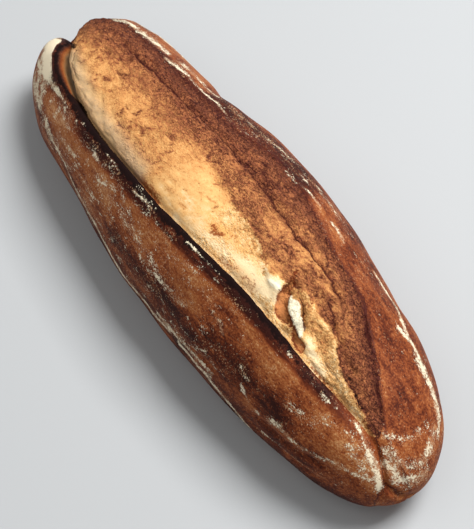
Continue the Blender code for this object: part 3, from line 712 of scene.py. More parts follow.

# %% [markdown]
# ## Pigments by brush
#
# Flour left by the proofing basket lies where the basket touched, so no formula gives its places. The same
# goes for the char on a thin lip and a painted shadow in a pocket beside the notch, pale dough that came up
# last, pits where it tore, toasted patches on the cream, a grey bloom beside the lip, and the redder and
# sootier places of the skin, where a painted sheen lies along ridges and painted shade low on the flanks.
# So each of these eight is a list of brush strokes on the loaf in millimetres, (line, width, amount). A
# stroke given as (x, y) is drawn from above, and one given as (x, y, z) may lie on a flank.

# %% Brush strokes: flour on the ear's side
EAR_FLOUR = (
    (((-163, -14, 44), (-150, -24, 50), (-140, -30, 51)), 7, 1.35),
    (((-165, -14, 40), (-150, -28, 46), (-136, -33, 50)), 10, 0.78),
    (((-160, -20, 32), (-146, -34, 36), (-130, -41, 40)), 8, 0.8),
    (((-140, -29, 53), (-131, -34, 54), (-118, -35, 58), (-110, -35, 61)), 3.0, 0.82),
    (((-156, -24, 36), (-136, -40, 40), (-112, -47, 41)), 5, 0.6),
    (((-103, -46, 47), (-91, -47, 51), (-81, -47, 52)), 4.0, 0.64),
    (((-78, -49, 48), (-64, -51, 48), (-53, -52, 47), (-45, -54, 44)), 3.0, 0.52),
    (((-116, -47, 39), (-94, -50, 38), (-73, -53, 33), (-48, -56, 31)), 2.6, 0.82),
    (((-48, -56, 31), (-29, -58, 27), (-8, -59, 26), (12, -58, 26), (30, -57, 30)), 2.8, 0.82),
    (((-6, -52, 53), (3, -51, 54), (13, -51, 54), (26, -51, 54), (34, -49, 55)), 4.2, 0.57),
    (((-63, -37, 69), (-53, -38, 70), (-47, -38, 70)), 1.8, 0.62),
    (((-68, -41, 63), (-65, -41, 63)), 2.4, 0.78),
    (((-89, -36, 65), (-86, -36, 66)), 1.6, 0.69),
    (((-37, -43, 63), (-34, -43, 63)), 2.0, 0.72),
    (((-33, -38, 70), (-26, -37, 71), (-22, -36, 72)), 2.2, 0.69),
    (((-58, -40, 66), (-50, -40, 67), (-40, -40, 67)), 3.0, 0.5),
    (((-44, -48, 55), (-41, -48, 55)), 2.0, 0.66),
    (((12, -33, 75), (22, -32, 76), (32, -31, 76)), 1.2, 0.85),
    (((32, -31, 76), (37, -30, 75)), 1.2, 0.5),
    (((-62, -46, 57), (-40, -47, 58), (-16, -48, 58), (2, -50, 55)), 9, 0.55),
    (((-120, -38, 54), (-104, -41, 55), (-86, -42, 58)), 6, 0.5),
    (((18, -40, 70), (25, -38, 71), (30, -38, 71)), 1.8, 0.6),
    (((54, -41, 62), (60, -43, 59)), 2.2, 0.68),
    (((45, -41, 63), (48, -41, 63)), 1.8, 0.63),
    (((78, -44, 54), (85, -45, 52)), 3.0, 0.6),
    (((84, -48, 47), (92, -49, 42)), 1.5, 0.69),
    (((98, -49, 40), (100, -49, 40)), 2.2, 0.69),
    (((106, -46, 42), (114, -44, 44)), 4.0, 0.64),
    (((116, -44, 44), (127, -42, 42), (135, -38, 42), (143, -34, 44), (150, -30, 44),
      (157, -26, 42)), 2.3, 0.66),
    (((105, -49, 28), (120, -46, 30), (135, -41, 30), (150, -33, 30)), 2.3, 0.6),
    (((118, -23, 65), (122, -22, 64)), 2.4, 0.63),
    (((92, -25, 70), (94, -25, 70)), 1.8, 0.69),
    (((109, -38, 55), (117, -35, 56), (126, -32, 56)), 4.0, 0.5),
    (((19, -57, 32), (35, -57, 33), (53, -56, 37), (67, -54, 38)), 2.0, 0.8),
    (((33, -57, 35), (46, -56, 38), (58, -52, 47)), 1.5, 0.74),
    (((39, -57, 29), (63, -56, 32), (78, -54, 26), (97, -50, 18)), 2.8, 0.8),
    (((128, -27, 60), (140, -22, 57), (150, -20, 53)), 5, 0.46),
    (((-34, -35, 71), (-26, -36, 72), (-16, -36, 72)), 3.0, 0.6),
)
print("strokes of flour on the ear's side:", len(EAR_FLOUR))

# %% Brush strokes: flour round the nose
NOSE_FLOUR = (
    (((137, -16, 58), (143, -16, 56), (149, -17, 53)), 2.2, 0.64),
    (((145, -17, 54), (151, -17, 51), (156, -18, 47)), 3.2, 0.76),
    (((153, -18, 50), (158, -18, 46), (163, -19, 41), (166, -20, 36)), 3.8, 0.86),
    (((160, -12, 45), (167, -9, 39), (171, -4, 35), (171, 4, 34)), 7.0, 0.66),
    (((146, -24, 53), (155, -24, 47), (163, -23, 40)), 5.5, 0.58),
    (((156, -9, 50), (161, -8, 46), (166, -3, 42), (168, 5, 40), (164, 13, 40), (157, 19, 42)), 5.5, 0.64),
    (((150, -6, 54), (156, 1, 51), (157, 8, 49), (155, 17, 47)), 5, 0.5),
)
print("strokes of flour round the nose:", len(NOSE_FLOUR))

# %% Brush strokes: flour on the skin's side
SKIN_FLOUR = (
    (((126, 34, 51), (136, 33, 47), (145, 31, 43), (154, 26, 40)), 4.4, 0.82),
    (((154, 26, 40), (161, 20, 38)), 3.0, 0.66),
    (((72, 45, 53), (83, 45, 50), (93, 44, 51), (103, 40, 54), (112, 37, 54), (123, 36, 50),
      (130, 35, 48)), 2.2, 0.88),
    (((107, 34, 57), (111, 35, 56), (115, 36, 53)), 2.0, 0.85),
    (((144, 34, 34), (156, 26, 32), (164, 16, 32)), 4, 0.5),
    (((-160, 19, 44), (-142, 28, 51), (-122, 30, 56), (-108, 31, 59)), 5.0, 0.74),
    (((-158, 26, 38), (-145, 35, 40), (-125, 42, 42), (-100, 45, 43)), 8, 0.72),
    (((-101, 26, 65), (-96, 27, 65), (-90, 28, 66), (-83, 29, 65)), 2.8, 0.82),
    (((-96, 33, 60), (-73, 34, 60), (-57, 36, 60), (-45, 38, 60)), 5.0, 0.68),
    (((-80, 29, 66), (-64, 30, 67), (-57, 31, 68), (-48, 31, 69)), 2.2, 0.68),
    (((-45, 32, 70), (-31, 32, 72), (-21, 37, 70)), 2.4, 0.62),
    (((-40, 42, 60), (-10, 46, 60), (20, 48, 58), (48, 46, 55)), 4, 0.56),
    (((-10, 42, 65), (10, 44, 64), (24, 43, 63)), 2.2, 0.56),
    (((14, 38, 68), (17, 40, 67), (23, 40, 67), (28, 40, 66)), 2.2, 0.74),
    (((1, 38, 69), (6, 36, 70), (12, 37, 69)), 1.6, 0.7),
    (((40, 40, 65), (45, 40, 64), (52, 38, 64)), 2.2, 0.74),
    (((56, 38, 63), (66, 41, 60), (71, 43, 56)), 1.6, 0.55),
    (((80, 43, 55), (89, 44, 52), (103, 40, 54), (111, 36, 56)), 2.0, 0.63),
)
FLOUR = EAR_FLOUR + NOSE_FLOUR + SKIN_FLOUR
print("strokes of flour in all:", len(FLOUR))

# %% Brush strokes: char and a painted shadow, pale dough, tears and toasted patches
# Char, and one painted shadow: the first stroke darkens a small pocket beside the notch, where there is only
# shade.
CHAR_AND_SHADE = (
    (((-141, -12), (-138, -12)), 1.6, 1.0),
    (((118, -7), (126, -8), (134, -10)), 1.2, 0.6),
    (((149, -11, 56), (155, -13, 51), (161, -15, 46), (166, -17, 40), (168, -19, 34)), 1.0, 1.0),
    (((168, -18, 38), (171, -14, 33), (174, -10, 28)), 1.6, 0.8),
)
PALE = (
    (((40, -18), (52, -16), (60, -12), (65, -14)), 4.5, 0.8),
    (((57, -8), (62, -10), (64, -13)), 1.8, 1.1),
    (((46, -8), (53, -10), (58, -12)), 1.8, 0.8),
    (((92, -13), (98, -15), (104, -16), (110, -16)), 3.0, 1.0),
    (((66, 0), (77, -1), (87, -3), (99, -2), (105, -6), (114, -10), (127, -13), (140, -13)), 2.0, 0.75),
    (((104, -7), (112, -11), (122, -13)), 2.0, 0.7),
)
TEARS = (
    (((-42, -31), (-31, -31), (-20, -31)), 2.0, 0.8),
    (((103, -19), (110, -18), (118, -17)), 1.2, 0.6),
    (((13, -17), (17, -19), (20, -16)), 1.2, 1.0),
    (((15, -20), (18, -18)), 1.0, 0.8),
    (((22, -10), (26, -13)), 2.2, 0.35),
    (((30, -24), (38, -22)), 2.0, 0.5),
    (((46, -20), (54, -20)), 3.0, 0.35),
)
TOASTED = (
    (((12, -17), (22, -14), (34, -14)), 4.5, 1.0),
    (((36, -22), (44, -20), (52, -21)), 3.5, 0.8),
    (((24, -26), (34, -25)), 3.0, 0.6),
    (((40, -11), (50, -13)), 3.0, 0.5),
)
print("strokes of char, pale dough, tears and toast:", [len(s) for s in (CHAR_AND_SHADE, PALE, TEARS, TOASTED)])

# %% Brush strokes: redder and sootier skin with painted sheen and painted shade, and the grey bloom
ASH = ((((-134, -17), (-120, -21), (-104, -25), (-84, -28), (-60, -29), (-40, -29)), 4.5, 0.85),)
# Redder skin, and a painted sheen: the lighter strokes along the ridges of the flap stand in for light
# catching the crust.
RUDDY_AND_SHEEN = (
    (((67, -35, 67), (84, -31, 68), (99, -29, 67), (114, -27, 64), (126, -23, 62)), 5, 0.5),
    (((126, -26, 60), (138, -28, 54), (148, -24, 52), (160, -22, 44)), 8, 1.1),
    (((-14, -39, 69), (5, -39, 70), (24, -40, 70)), 6, 0.45),
    (((-120, -40, 54), (-80, -44, 58), (-50, -46, 60)), 10, 1.3),
    (((-40, -46, 60), (0, -46, 61), (34, -47, 60)), 7, 0.45),
    (((130, 2, 60), (146, 0, 56), (155, 6, 50)), 9, 0.35),
)
# Sootier skin, and painted shade: the strokes low on both flanks, near the sole, darken the crust where
# light falls off.
SOOT_AND_SHADE = (
    (((56, -49, 52), (68, -47, 53), (80, -45, 54)), 7, 1.0),
    (((-100, -52, 34), (-60, -56, 30), (-20, -59, 28)), 6, 0.6),
    (((80, -46, 52), (95, -44, 52), (109, -42, 52)), 6, 1.0),
    (((-30, -57, 44), (0, -56, 46), (24, -54, 48), (46, -53, 46)), 7, 1.0),
    (((-20, -60, 30), (20, -60, 30), (60, -57, 30), (100, -52, 28)), 9, 0.9),
    (((88, 28, 63), (104, 22, 65), (115, 20, 63)), 8, 0.5),
    (((142, 8, 56), (152, 6, 53)), 8, 0.4),
    (((96, 26, 63), (112, 22, 62)), 8, 0.55),
    (((-140, -44, 17), (-99, -50, 17), (-40, -57, 18), (12, -58, 17), (60, -55, 17)), 9, 0.9),
    (((60, -55, 17), (100, -51, 18), (134, -43, 18), (159, -32, 20)), 10, 1.1),
    (((-150, 36, 34), (-120, 45, 36), (-90, 48, 38)), 9, 0.5),
    (((50, -51, 46), (68, -49, 48), (90, -46, 48), (112, -42, 48)), 7, 0.9),
    (((-130, -42, 38), (-90, -51, 36), (-40, -57, 32)), 4, 0.5),
    (((96, -50, 34), (130, -43, 34), (156, -28, 34)), 6, 0.7),
    (((-60, 34, 64), (-20, 44, 62), (10, 46, 60)), 12, 1.1),
    (((10, 50, 56), (50, 46, 56), (90, 40, 55)), 10, 0.5),
    (((-160, 14, 54), (-140, 22, 58), (-110, 23, 62), (-80, 25, 65)), 6, 0.55),
)
print("strokes of bloom, red and soot:", [len(s) for s in (ASH, RUDDY_AND_SHEEN, SOOT_AND_SHADE)])


# %% Lay the strokes on
def brushed(strokes):
    """How much of a pigment lies at each point of the loft: the strongest of its brush strokes."""
    total = np.zeros(x.size)
    flat = surface.reshape(-1, 3)
    for line, stroke_width, amount in strokes:
        from_above = len(line[0]) == 2
        nearest, _ = off_line(line, flat[:, : len(line[0])])
        stroke = amount * valley(nearest, stroke_width * MM)
        total = np.maximum(total, stroke * upper.ravel() if from_above else stroke)
    return total.reshape(x.shape)


# Besides the strokes, a little flour lies on all of the skin, more on the ear's side and less near the nose.
EAR_SIDE_DUST, SKIN_SIDE_DUST = 0.32, 0.29
FAR_EXTRA_DUST, NEAR_LOST_DUST = 0.08, 0.1
on_ear_side = across < 0
skin_dust = np.where(on_ear_side, EAR_SIDE_DUST, SKIN_SIDE_DUST)
skin_dust += FAR_EXTRA_DUST * (1 - ease(-100 * MM, 20 * MM, x)) * on_ear_side
skin_dust -= NEAR_LOST_DUST * ease(60 * MM, 90 * MM, x)
skin_dust *= upper * (1 - torn)
flour = np.maximum(brushed(FLOUR), skin_dust)
char, pale, tears, toasted = (brushed(strokes) for strokes in (CHAR_AND_SHADE, PALE, TEARS, TOASTED))
ash, ruddy, soot = (brushed(strokes) for strokes in (ASH, RUDDY_AND_SHEEN, SOOT_AND_SHADE))
print("floured above one half:", round(float((flour > 0.5).mean()) * 100, 1), "% of the points")

# %% [markdown]
# ## How far the band is baked
#
# The dough that tore open first baked longest. So the band runs from cream beside the groove, through gold,
# to brown beyond the crease and a purplish dark line at the skin's edge. One number, the tone, says how far
# each point has gone, and a colour ramp turns it into crust later on.

# %% Tone of the torn band
PLAIN_TONE = 0.36
DARK_TONE, DARK_RISE = 0.72, 0.45  # a tone beyond the first rises only at the second rate
strand_zone, closing_zone = ease(55 * MM, 72 * MM, x), ease(98 * MM, 112 * MM, x)
crisp = ease(2 * MM, 14 * MM, x)  # from here on the last dough ends at a crisp step, which the shader cuts
shifts = {  # how much darker than the plain tone each place is, or paler where it is negative
    "far half": 0.02 * (1 - ease(-60 * MM, -10 * MM, x)) - 0.03 * (1 - ease(-120 * MM, -90 * MM, x)),
    "towards the crease": 0.17 * ease(-29, -8, off_crease) + 0.15 * ease(-13, 1, off_crease),
    "beyond the crease": (0.12 - 0.06 * ease(-40 * MM, -5 * MM, x)) * ease(-1, 4, off_crease),
    "far top": 0.03 * (1 - ease(20 * MM, 40 * MM, x)) * ease(-14, -6, off_crease),
    "near top": -0.11 * ease(5 * MM, 35 * MM, x) * ease(-20, -8, off_crease),
    "beside the skin": 0.22 * (1 - ease(1, 12, to_skin)),
    "beside the groove": -0.06 * (1 - ease(6 * MM, 20 * MM, across)),
    "golden middle": 0.05 * valley(x + 25 * MM, 45 * MM) * (1 - ease(-14, -6, off_crease)),
    "golden patch": 0.06 * valley(x + 40 * MM, 20 * MM) * (1 - ease(-9, -2, off_crease)),
    "pale patch": -0.04 * valley(x + 84 * MM, 20 * MM) * (1 - ease(-6, 4, off_crease)),
    "strands": 0.07 * strand_zone + 0.14 * closing_zone,
    "under the step": 0.10 * crisp * (1 - ease(-12, -4, off_crease)),
    "cream without a step": -0.20 * cream_ends * (1 - crisp) * (1 - ease(-6, 3, off_step)),
    "far tip": 0.12 * (1 - ease(-165 * MM, -130 * MM, x)) * ease(-8 * MM, 4 * MM, y),
    "on the crease": -0.055 * ease(-20 * MM, 10 * MM, x) * valley(off_crease + 1, 9),
    "brown patch": 0.06 * valley(x - 22 * MM, 30 * MM) * ease(8, 15, off_crease),
    "ribbon by the strands": -0.09 * valley(x - 68 * MM, 20 * MM) * ease(-10, 0, off_crease),
    "lumps and fissures": 0.11 * rough_blobs + 0.30 * fissures + 0.16 * crease_groove,
    "cracks": 0.16 * np.clip(crack_depth / MM, 0, 1) * ease(0, 20 * MM, across),
    "pale strokes": -0.24 * pale,
}
tone = PLAIN_TONE + sum(shifts.values())
tone = np.where(tone > DARK_TONE, DARK_TONE + DARK_RISE * (tone - DARK_TONE), tone)
print("tone:", round(float(tone[torn > 0.5].min()), 2), "to", round(float(tone[torn > 0.5].max()), 2))

# %% The last dough: how much paler it is, and where its step lies
STEP_SHIFT = 1.2  # the colour's edge lies this far beyond the relief's, in mm
pale_by = (0.10 + 0.21 * cream_ends) * crisp + 0.15 * strand_zone + 0.14 * closing_zone
to_step = off_step + STEP_SHIFT
print("the last dough is paler by up to", round(float(pale_by.max()), 2))

# %% Char on the lip with painted shade under it, and the inside of the wide end
# The bare numbers beside corner are corners of the ear's section: 4 is the lip's top, 8 the groove's bottom.
lip_end = 1 - 0.75 * ease(70 * MM, 125 * MM, x)
wide_end = 1 - ease(-118 * MM, -100 * MM, x)
char_and_shade_start = 3.7 + 0.5 * line_wiggle
char_and_shade_end = 7.6 - 2.9 * wide_end
# The dark runs from the lip's top to under its overhang: char on top, and painted shade of the undercut
# below the edge.
lip_char_and_shade = ease(-0.5, 0.7, corner - char_and_shade_start) * (1 - ease(-0.4, 0.5, corner - char_and_shade_end)) * lip_end * upper
lip_char_and_shade *= 1 - ease(118 * MM, 132 * MM, x)
inner_lip = wide_end * ease(4.2, 4.8, corner) * (1 - ease(7.6, 8.6, corner))
inner_tone = ease(4.4, 8.0, corner)
char = np.maximum(char, lip_char_and_shade)
flour = np.where(flour <= skin_dust, flour * (1 - 0.8 * lip_char_and_shade), flour)
flour *= 1 - wide_end * ease(2.9, 3.5, corner) * (1 - ease(8.5, 9.5, corner))
print("charred:", round(float((char > 0.5).mean()) * 100, 1), "% of the points")

# %% Scorched skin, towards the lip and just outside the torn band
scorch_end = 1 - 0.8 * ease(112 * MM, 138 * MM, x)
scorch_start = -13 * MM + 5 * MM * ease(-75 * MM, -40 * MM, x)
scorch = 1.5 * ease(scorch_start, -4 * MM, across) * (corner < 7) * scorch_end * upper
edge_reach = 1.5 + 5 * (1 - ease(40 * MM, 75 * MM, x))
scorch = np.maximum(scorch, 0.5 * ease(-edge_reach, -0.5, to_skin) * (to_skin < 0.5) * upper)
print("scorched above one half:", round(float((scorch > 0.5).mean()) * 100, 1), "% of the points")

# %% [markdown]
# ## Making the mesh
#
# The rings become quads, and a fan closes each tip. The measures go along as point attributes, which the
# shader reads by name. The solid stands centred on its own box, so the same shift is applied here.

# %% A closed mesh from rings
# The middle of the solid's box as drawn, which was taken off so that the solid stands centred.
MIDDLE = Vector((0.85 * MM, 0.59 * MM, 0.0))


def loft_mesh(name, rings, tips):
    """A closed mesh from rings of points, with a fan round each tip."""
    ring_count, count = rings.shape[:2]
    verts = np.concatenate([rings.reshape(-1, 3), tips]) - np.array(MIDDLE)
    faces = []
    for ring in range(ring_count - 1):
        for i in range(count):
            j = (i + 1) % count
            near, far = ring * count, (ring + 1) * count
            faces.append((near + i, far + i, far + j, near + j))
    first_tip, last_tip, last = ring_count * count, ring_count * count + 1, (ring_count - 1) * count
    for i in range(count):
        j = (i + 1) % count
        faces.append((first_tip, i, j))
        faces.append((last_tip, last + j, last + i))
    mesh = bpy.data.meshes.new(name)
    mesh.from_pydata(verts.tolist(), [], faces)
    mesh.shade_smooth()
    return mesh


tips = np.array([surface[0].mean(axis=0), surface[-1].mean(axis=0)])
mesh = loft_mesh("crusty_loaf", surface, tips)
print(len(mesh.vertices), "vertices,", sum(len(face.vertices) - 2 for face in mesh.polygons), "triangles")

# %% Give the mesh its measures and make it an object
measures = {
    "in_band": in_band, "to_skin": to_skin, "to_crack": to_crack, "crack_side": crack_side,
    "to_gap": to_gap, "to_strand": to_strand, "to_step": to_step, "pale_by": pale_by, "tone": tone,
    "toasted": toasted, "tears": tears, "ash": ash, "char": char, "inner_lip": inner_lip,
    "inner_tone": inner_tone, "ruddy": ruddy, "soot": soot, "scorch": scorch, "flour": flour,
}
for name, field in measures.items():
    at_tips = [field[0].mean(), field[-1].mean()]
    attribute = mesh.attributes.new(name, "FLOAT", "POINT")
    attribute.data.foreach_set("value", np.concatenate([field.ravel(), at_tips]).astype(np.float32))
loaf = bpy.data.objects.new("crusty_loaf", mesh)
bpy.context.scene.collection.objects.link(loaf)
top_faces_point = sum(face.normal.z for face in mesh.polygons if face.center.z > 70 * MM)
print(len(measures), "measures; the top's faces point", "up" if top_faces_point > 0 else "down")

# %% [markdown]
# ## Shader maths as Python
#
# A crust is many small sums of noise and masks. Wired by hand that is a wall of nodes, so one small class
# wraps a socket and lets +, - and * add the Math nodes. Any other node comes from its add method, which
# sets the node's own settings first and then its sockets, from numbers or from other wrapped sockets.


# %% The wrapped socket
class Wire:
    """One output socket of a material's nodes. Arithmetic on it adds Math nodes."""

    def __init__(self, nodes, socket=None):
        self.nodes, self.socket = nodes, socket

    def add(self, kind, settings=None, sockets=None, output=0):
        """A new node of some kind, its settings and then its sockets set, as the wire from one output."""
        node = self.nodes.nodes.new(kind)
        for name, value in (settings or {}).items():
            if name == "stops":
                for _ in range(len(value) - 2):
                    node.color_ramp.elements.new(0.5)
                for element, (place, colour) in zip(node.color_ramp.elements, value):
                    element.position, element.color = place, colour
            else:
                setattr(node, name, value)
        for name, value in (sockets or {}).items():
            if isinstance(value, Wire):
                self.nodes.links.new(value.socket, node.inputs[name])
            else:
                node.inputs[name].default_value = value
        return Wire(self.nodes, node.outputs[output])

    def math(self, operation, *values):
        """A Math node on the values, in the order of its sockets."""
        return self.add("ShaderNodeMath", {"operation": operation}, dict(enumerate(values)))

    def __add__(self, other):
        return self.math("ADD", self, other)

    def __radd__(self, other):
        return self.math("ADD", other, self)

    def __sub__(self, other):
        return self.math("SUBTRACT", self, other)

    def __rsub__(self, other):
        return self.math("SUBTRACT", other, self)

    def __mul__(self, other):
        return self.math("MULTIPLY", self, other)

    def __rmul__(self, other):
        return self.math("MULTIPLY", other, self)

    def clamped(self):
        """Kept between 0 and 1."""
        return self.math("MINIMUM", self.math("MAXIMUM", self, 0.0), 1.0)

    def between(self, low, high):
        """0 below low, 1 above high, with level ends."""
        sockets = {"Value": self, "From Min": low, "From Max": high}
        return self.add("ShaderNodeMapRange", {"interpolation_type": "SMOOTHSTEP"}, sockets)

    def unsigned(self):
        """The value without its sign."""
        return self.math("ABSOLUTE", self)

    def mixed(self, first, second):
        """One colour where this wire is 0 and the other where it is 1."""
        settings = {"data_type": "RGBA", "clamp_factor": True}
        return self.add("ShaderNodeMix", settings, {0: self, 6: first, 7: second}, output=2)


print("besides sums, a wire can:", [name for name in vars(Wire) if not name.startswith("_")])


# %% The crust's material, and its plain colours
def srgb(red, green, blue):
    """A colour as a picture gives it, 0 to 255, turned into the linear values that shaders use."""
    shares = (red / 255, green / 255, blue / 255)
    linear = [c / 12.92 if c <= 0.04045 else ((c + 0.055) / 1.055) ** 2.4 for c in shares]
    return (*linear, 1.0)


CRACKLE, CRACK_DARK, SKIN_EDGE = srgb(112, 56, 40), srgb(76, 32, 28), srgb(70, 30, 28)
TOAST, TORN_PIT, FRESH_STRAND = srgb(240, 178, 108), srgb(150, 74, 34), srgb(255, 246, 216)
GAP_LIGHT, GAP_DARK, GREY_BLOOM = srgb(206, 134, 80), srgb(122, 54, 28), srgb(206, 186, 154)
# The black of char, darkened further by painted shade, as it also covers the lip's undercut.
CHAR_AND_SHADE_BLACK, LIGHT_SPECK = srgb(20, 8, 8), srgb(208, 166, 126)
FLOUR_VEIL, FLOUR_WHITE = srgb(188, 158, 130), srgb(240, 228, 200)

crust = bpy.data.materials.new("baked_crust")
crust.use_nodes = True
wires = Wire(crust.node_tree)
shader = crust.node_tree.nodes["Principled BSDF"]
print("toast in linear values:", [round(c, 3) for c in TOAST[:3]])

# %% [markdown]
# ## Noise with a size in millimetres
#
# Noise nodes take a scale, which is hard to picture. This helper takes the size of the blobs instead, and a
# stretch for dough that was drawn out along the loaf. Every noise reads the object's own coordinates, so
# the pattern stays on the crust from every side.

# %% Noise and measures as wires
at = wires.add("ShaderNodeTexCoord", output="Object")


def speckle(size, detail=2.0, roughness=0.5, stretch=(1, 1, 1), seed=0.0, distortion=0.0):
    """Noise from 0 to 1 with blobs of about size millimetres, longer by stretch along each axis."""
    place = at
    if stretch != (1, 1, 1):
        squeeze = tuple(1 / s for s in stretch)
        place = wires.add("ShaderNodeVectorMath", {"operation": "MULTIPLY"}, {0: at, 1: squeeze})
    sockets = {"Vector": place, "W": seed, "Scale": 1 / (size * MM)}
    sockets |= {"Detail": detail, "Roughness": roughness, "Distortion": distortion}
    return wires.add("ShaderNodeTexNoise", {"noise_dimensions": "4D"}, sockets)


def measure(name):
    """One of the mesh's measures as a wire."""
    return wires.add("ShaderNodeAttribute", {"attribute_name": name}, output="Fac")


ragged = speckle(1.6, 3, 0.65, seed=1) - 0.5
grain = speckle(0.9, 2, 0.6, stretch=(1.3, 1, 1), seed=2) - 0.5
mottle = speckle(7, 4, 0.6, stretch=(1.8, 1, 1), seed=3) - 0.5
streaks = speckle(3.0, 3, 0.65, stretch=(3.5, 1, 1), seed=8) - 0.5
blotch = speckle(28, 2, 0.5, seed=4) - 0.5
specks = speckle(0.75, 1, 0.5, seed=10)
print("nodes so far:", len(crust.node_tree.nodes))

# %% [markdown]
# ## The smooth skin
#
# The outer skin stayed closed in the oven and browned evenly: deep red-brown with lighter patches on its
# ridges, partly a painted sheen, painted shade low on its flanks, and a fine dark grain. A ramp over one
# tone keeps these colours in one family, as real browning does.

# %% Skin colour
SKIN_BROWNS = (
    (0.0, srgb(50, 18, 12)), (0.28, srgb(96, 42, 22)), (0.5, srgb(138, 72, 38)),
    (0.72, srgb(164, 100, 56)), (1.0, srgb(200, 150, 102)),
)
# The ruddy measure lifts the skin: redder crust and a painted sheen along ridges. The soot measure lowers
# it: sootier crust and painted shade low on the flanks.
skin_tone = 0.49 + 0.7 * mottle + 0.7 * blotch + 0.8 * streaks + 1.1 * grain + 0.22 * measure("ruddy")
skin_tone = skin_tone - 0.36 * measure("scorch") * (1 + 4 * streaks + 3 * grain) - 0.4 * measure("soot")
skin_colour = wires.add("ShaderNodeValToRGB", {"stops": SKIN_BROWNS}, {"Fac": skin_tone.clamped()})
print("skin ramp:", len(SKIN_BROWNS), "browns")

# %% [markdown]
# ## The torn dough
#
# The band's ramp starts at cream and ends at a dark purplish brown. The tone from the loft sets the broad
# change, and a stipple of fine toasted grains breaks it up, more where the dough is already brown. Inside
# its step the last dough is paler, and since the step is a signed distance, its edge is crisp however
# coarse the mesh. A coarser noise with dark crevices where it crosses zero makes the crumbs of the brown
# part.

# %% Grain and tone of the torn dough
BAND_BAKES = (
    (0.0, srgb(248, 224, 180)), (0.2, srgb(234, 184, 120)), (0.4, srgb(206, 146, 88)),
    (0.58, srgb(176, 112, 70)), (0.76, srgb(138, 80, 54)), (1.0, srgb(76, 36, 32)),
)
stipple = speckle(0.7, 2, 0.7, stretch=(1.5, 1, 1), seed=5) - 0.5
pores = speckle(2.4, 3, 0.65, stretch=(1.6, 1, 1), seed=6).between(0.56, 0.68)
dashes = speckle(0.9, 2, 0.6, stretch=(3.5, 1, 1), seed=13).between(0.57, 0.66)
band_bake = measure("tone")
baked = band_bake.between(0.2, 0.55)
inside = 1 - (measure("to_step") + 5.0 * ragged + 3.0 * grain + 7.0 * mottle).between(-0.7, 0.7)
crumble = speckle(2.4, 3, 0.7, stretch=(1.3, 1, 1), seed=14, distortion=0.6) - 0.5
crevices = (1 - crumble.unsigned().between(0.0, 0.035)) * band_bake.between(0.42, 0.62)
band_tone = band_bake - measure("pale_by") * inside
band_tone = band_tone + (0.16 + 0.54 * baked) * (1.05 * stipple + 0.6 * ragged)
band_tone = band_tone + 0.3 * mottle + (0.06 + 0.12 * baked) * dashes + 0.10 * pores
band_tone = band_tone + (0.20 * crevices + 0.3 * crumble * baked) * (1 - 0.8 * inside)
band_colour = wires.add("ShaderNodeValToRGB", {"stops": BAND_BAKES}, {"Fac": band_tone.clamped()})
print("band ramp:", len(BAND_BAKES), "bakes")

# %% Crackle, toasted patches and pits
fine_cracks = speckle(10, 3, 0.55, stretch=(3, 1, 1), seed=11, distortion=0.25) - 0.5
fine_cracks = 1 - fine_cracks.unsigned().between(0.003, 0.014)
cracked_places = speckle(12, 1, 0.5, seed=12).between(0.5, 0.6)
fine_cracks = fine_cracks * cracked_places * band_bake.between(0.3, 0.6)
band_colour = (0.45 * fine_cracks).mixed(band_colour, CRACKLE)
band_colour = (measure("toasted") * (0.7 + 2.0 * mottle)).mixed(band_colour, TOAST)
torn_open = (measure("tears") + 2.2 * ragged + 1.0 * stipple).between(0.15, 0.85)
band_colour = (0.92 * torn_open).mixed(band_colour, TORN_PIT)
print("nodes so far:", len(crust.node_tree.nodes))

# %% Fresh strands, gaps and the grey bloom
strand = 1 - (measure("to_strand") + 2.0 * ragged).between(-0.6, 0.4)
band_colour = (0.95 * strand).mixed(band_colour, FRESH_STRAND)
gap_depth = measure("to_gap") + 4.0 * ragged + 3.0 * grain
gap_colour = (gap_depth + 9.0 * streaks + 6.0 * mottle).between(-2.4, 0.2).mixed(GAP_LIGHT, GAP_DARK)
band_colour = (0.95 * (1 - gap_depth.between(-0.3, 0.3))).mixed(band_colour, gap_colour)
band_colour = (0.8 * measure("ash") * (0.8 + ragged)).mixed(band_colour, GREY_BLOOM)
print("nodes so far:", len(crust.node_tree.nodes))

# %% [markdown]
# ## Lip, edges, and char with painted shade
#
# Where the crust is thin or stands proud it scorched: the lip is nearly black with a purple cast, and a
# thin purple-brown line follows the skin's edge. The black also runs under the lip's overhang, where it is
# painted shade. Inside the wide end of the groove, the back of the lip fades from orange to grey-beige.

# %% Skin, band and the inside of the lip
in_torn = (measure("in_band") + 2.0 * ragged).between(-0.3, 0.5)
colour = in_torn.mixed(skin_colour, band_colour)
INNER_FACE = (
    (0.05, srgb(48, 24, 18)), (0.22, srgb(128, 66, 32)), (0.36, srgb(170, 110, 62)),
    (0.52, srgb(160, 128, 92)), (0.8, srgb(132, 118, 98)),
)
inner_tone = measure("inner_tone") + 0.3 * stipple
inner_colour = wires.add("ShaderNodeValToRGB", {"stops": INNER_FACE}, {"Fac": inner_tone.clamped()})
colour = measure("inner_lip").mixed(colour, inner_colour)
print("inner face ramp:", len(INNER_FACE), "shades")

# %% The skin's dark edge, cracks, and char with painted shade
edge_line = measure("to_skin") + 9.0 * ragged + 6.0 * grain + 8.0 * mottle
edge = edge_line.between(-1.1, -0.3) * (1 - edge_line.between(0.3, 1.1))
edge = edge * (measure("in_band") + 6.0).between(0, 4)
colour = (0.75 * edge).mixed(colour, SKIN_EDGE)
crack_core = measure("crack_side") + 2.0 * ragged + 1.0 * grain
crack_line = 1 - crack_core.unsigned().between(0.12, 0.5)
crack_line = crack_line * (1 - measure("to_crack").between(1.0, 2.6))
colour = (0.85 * crack_line).mixed(colour, CRACK_DARK)
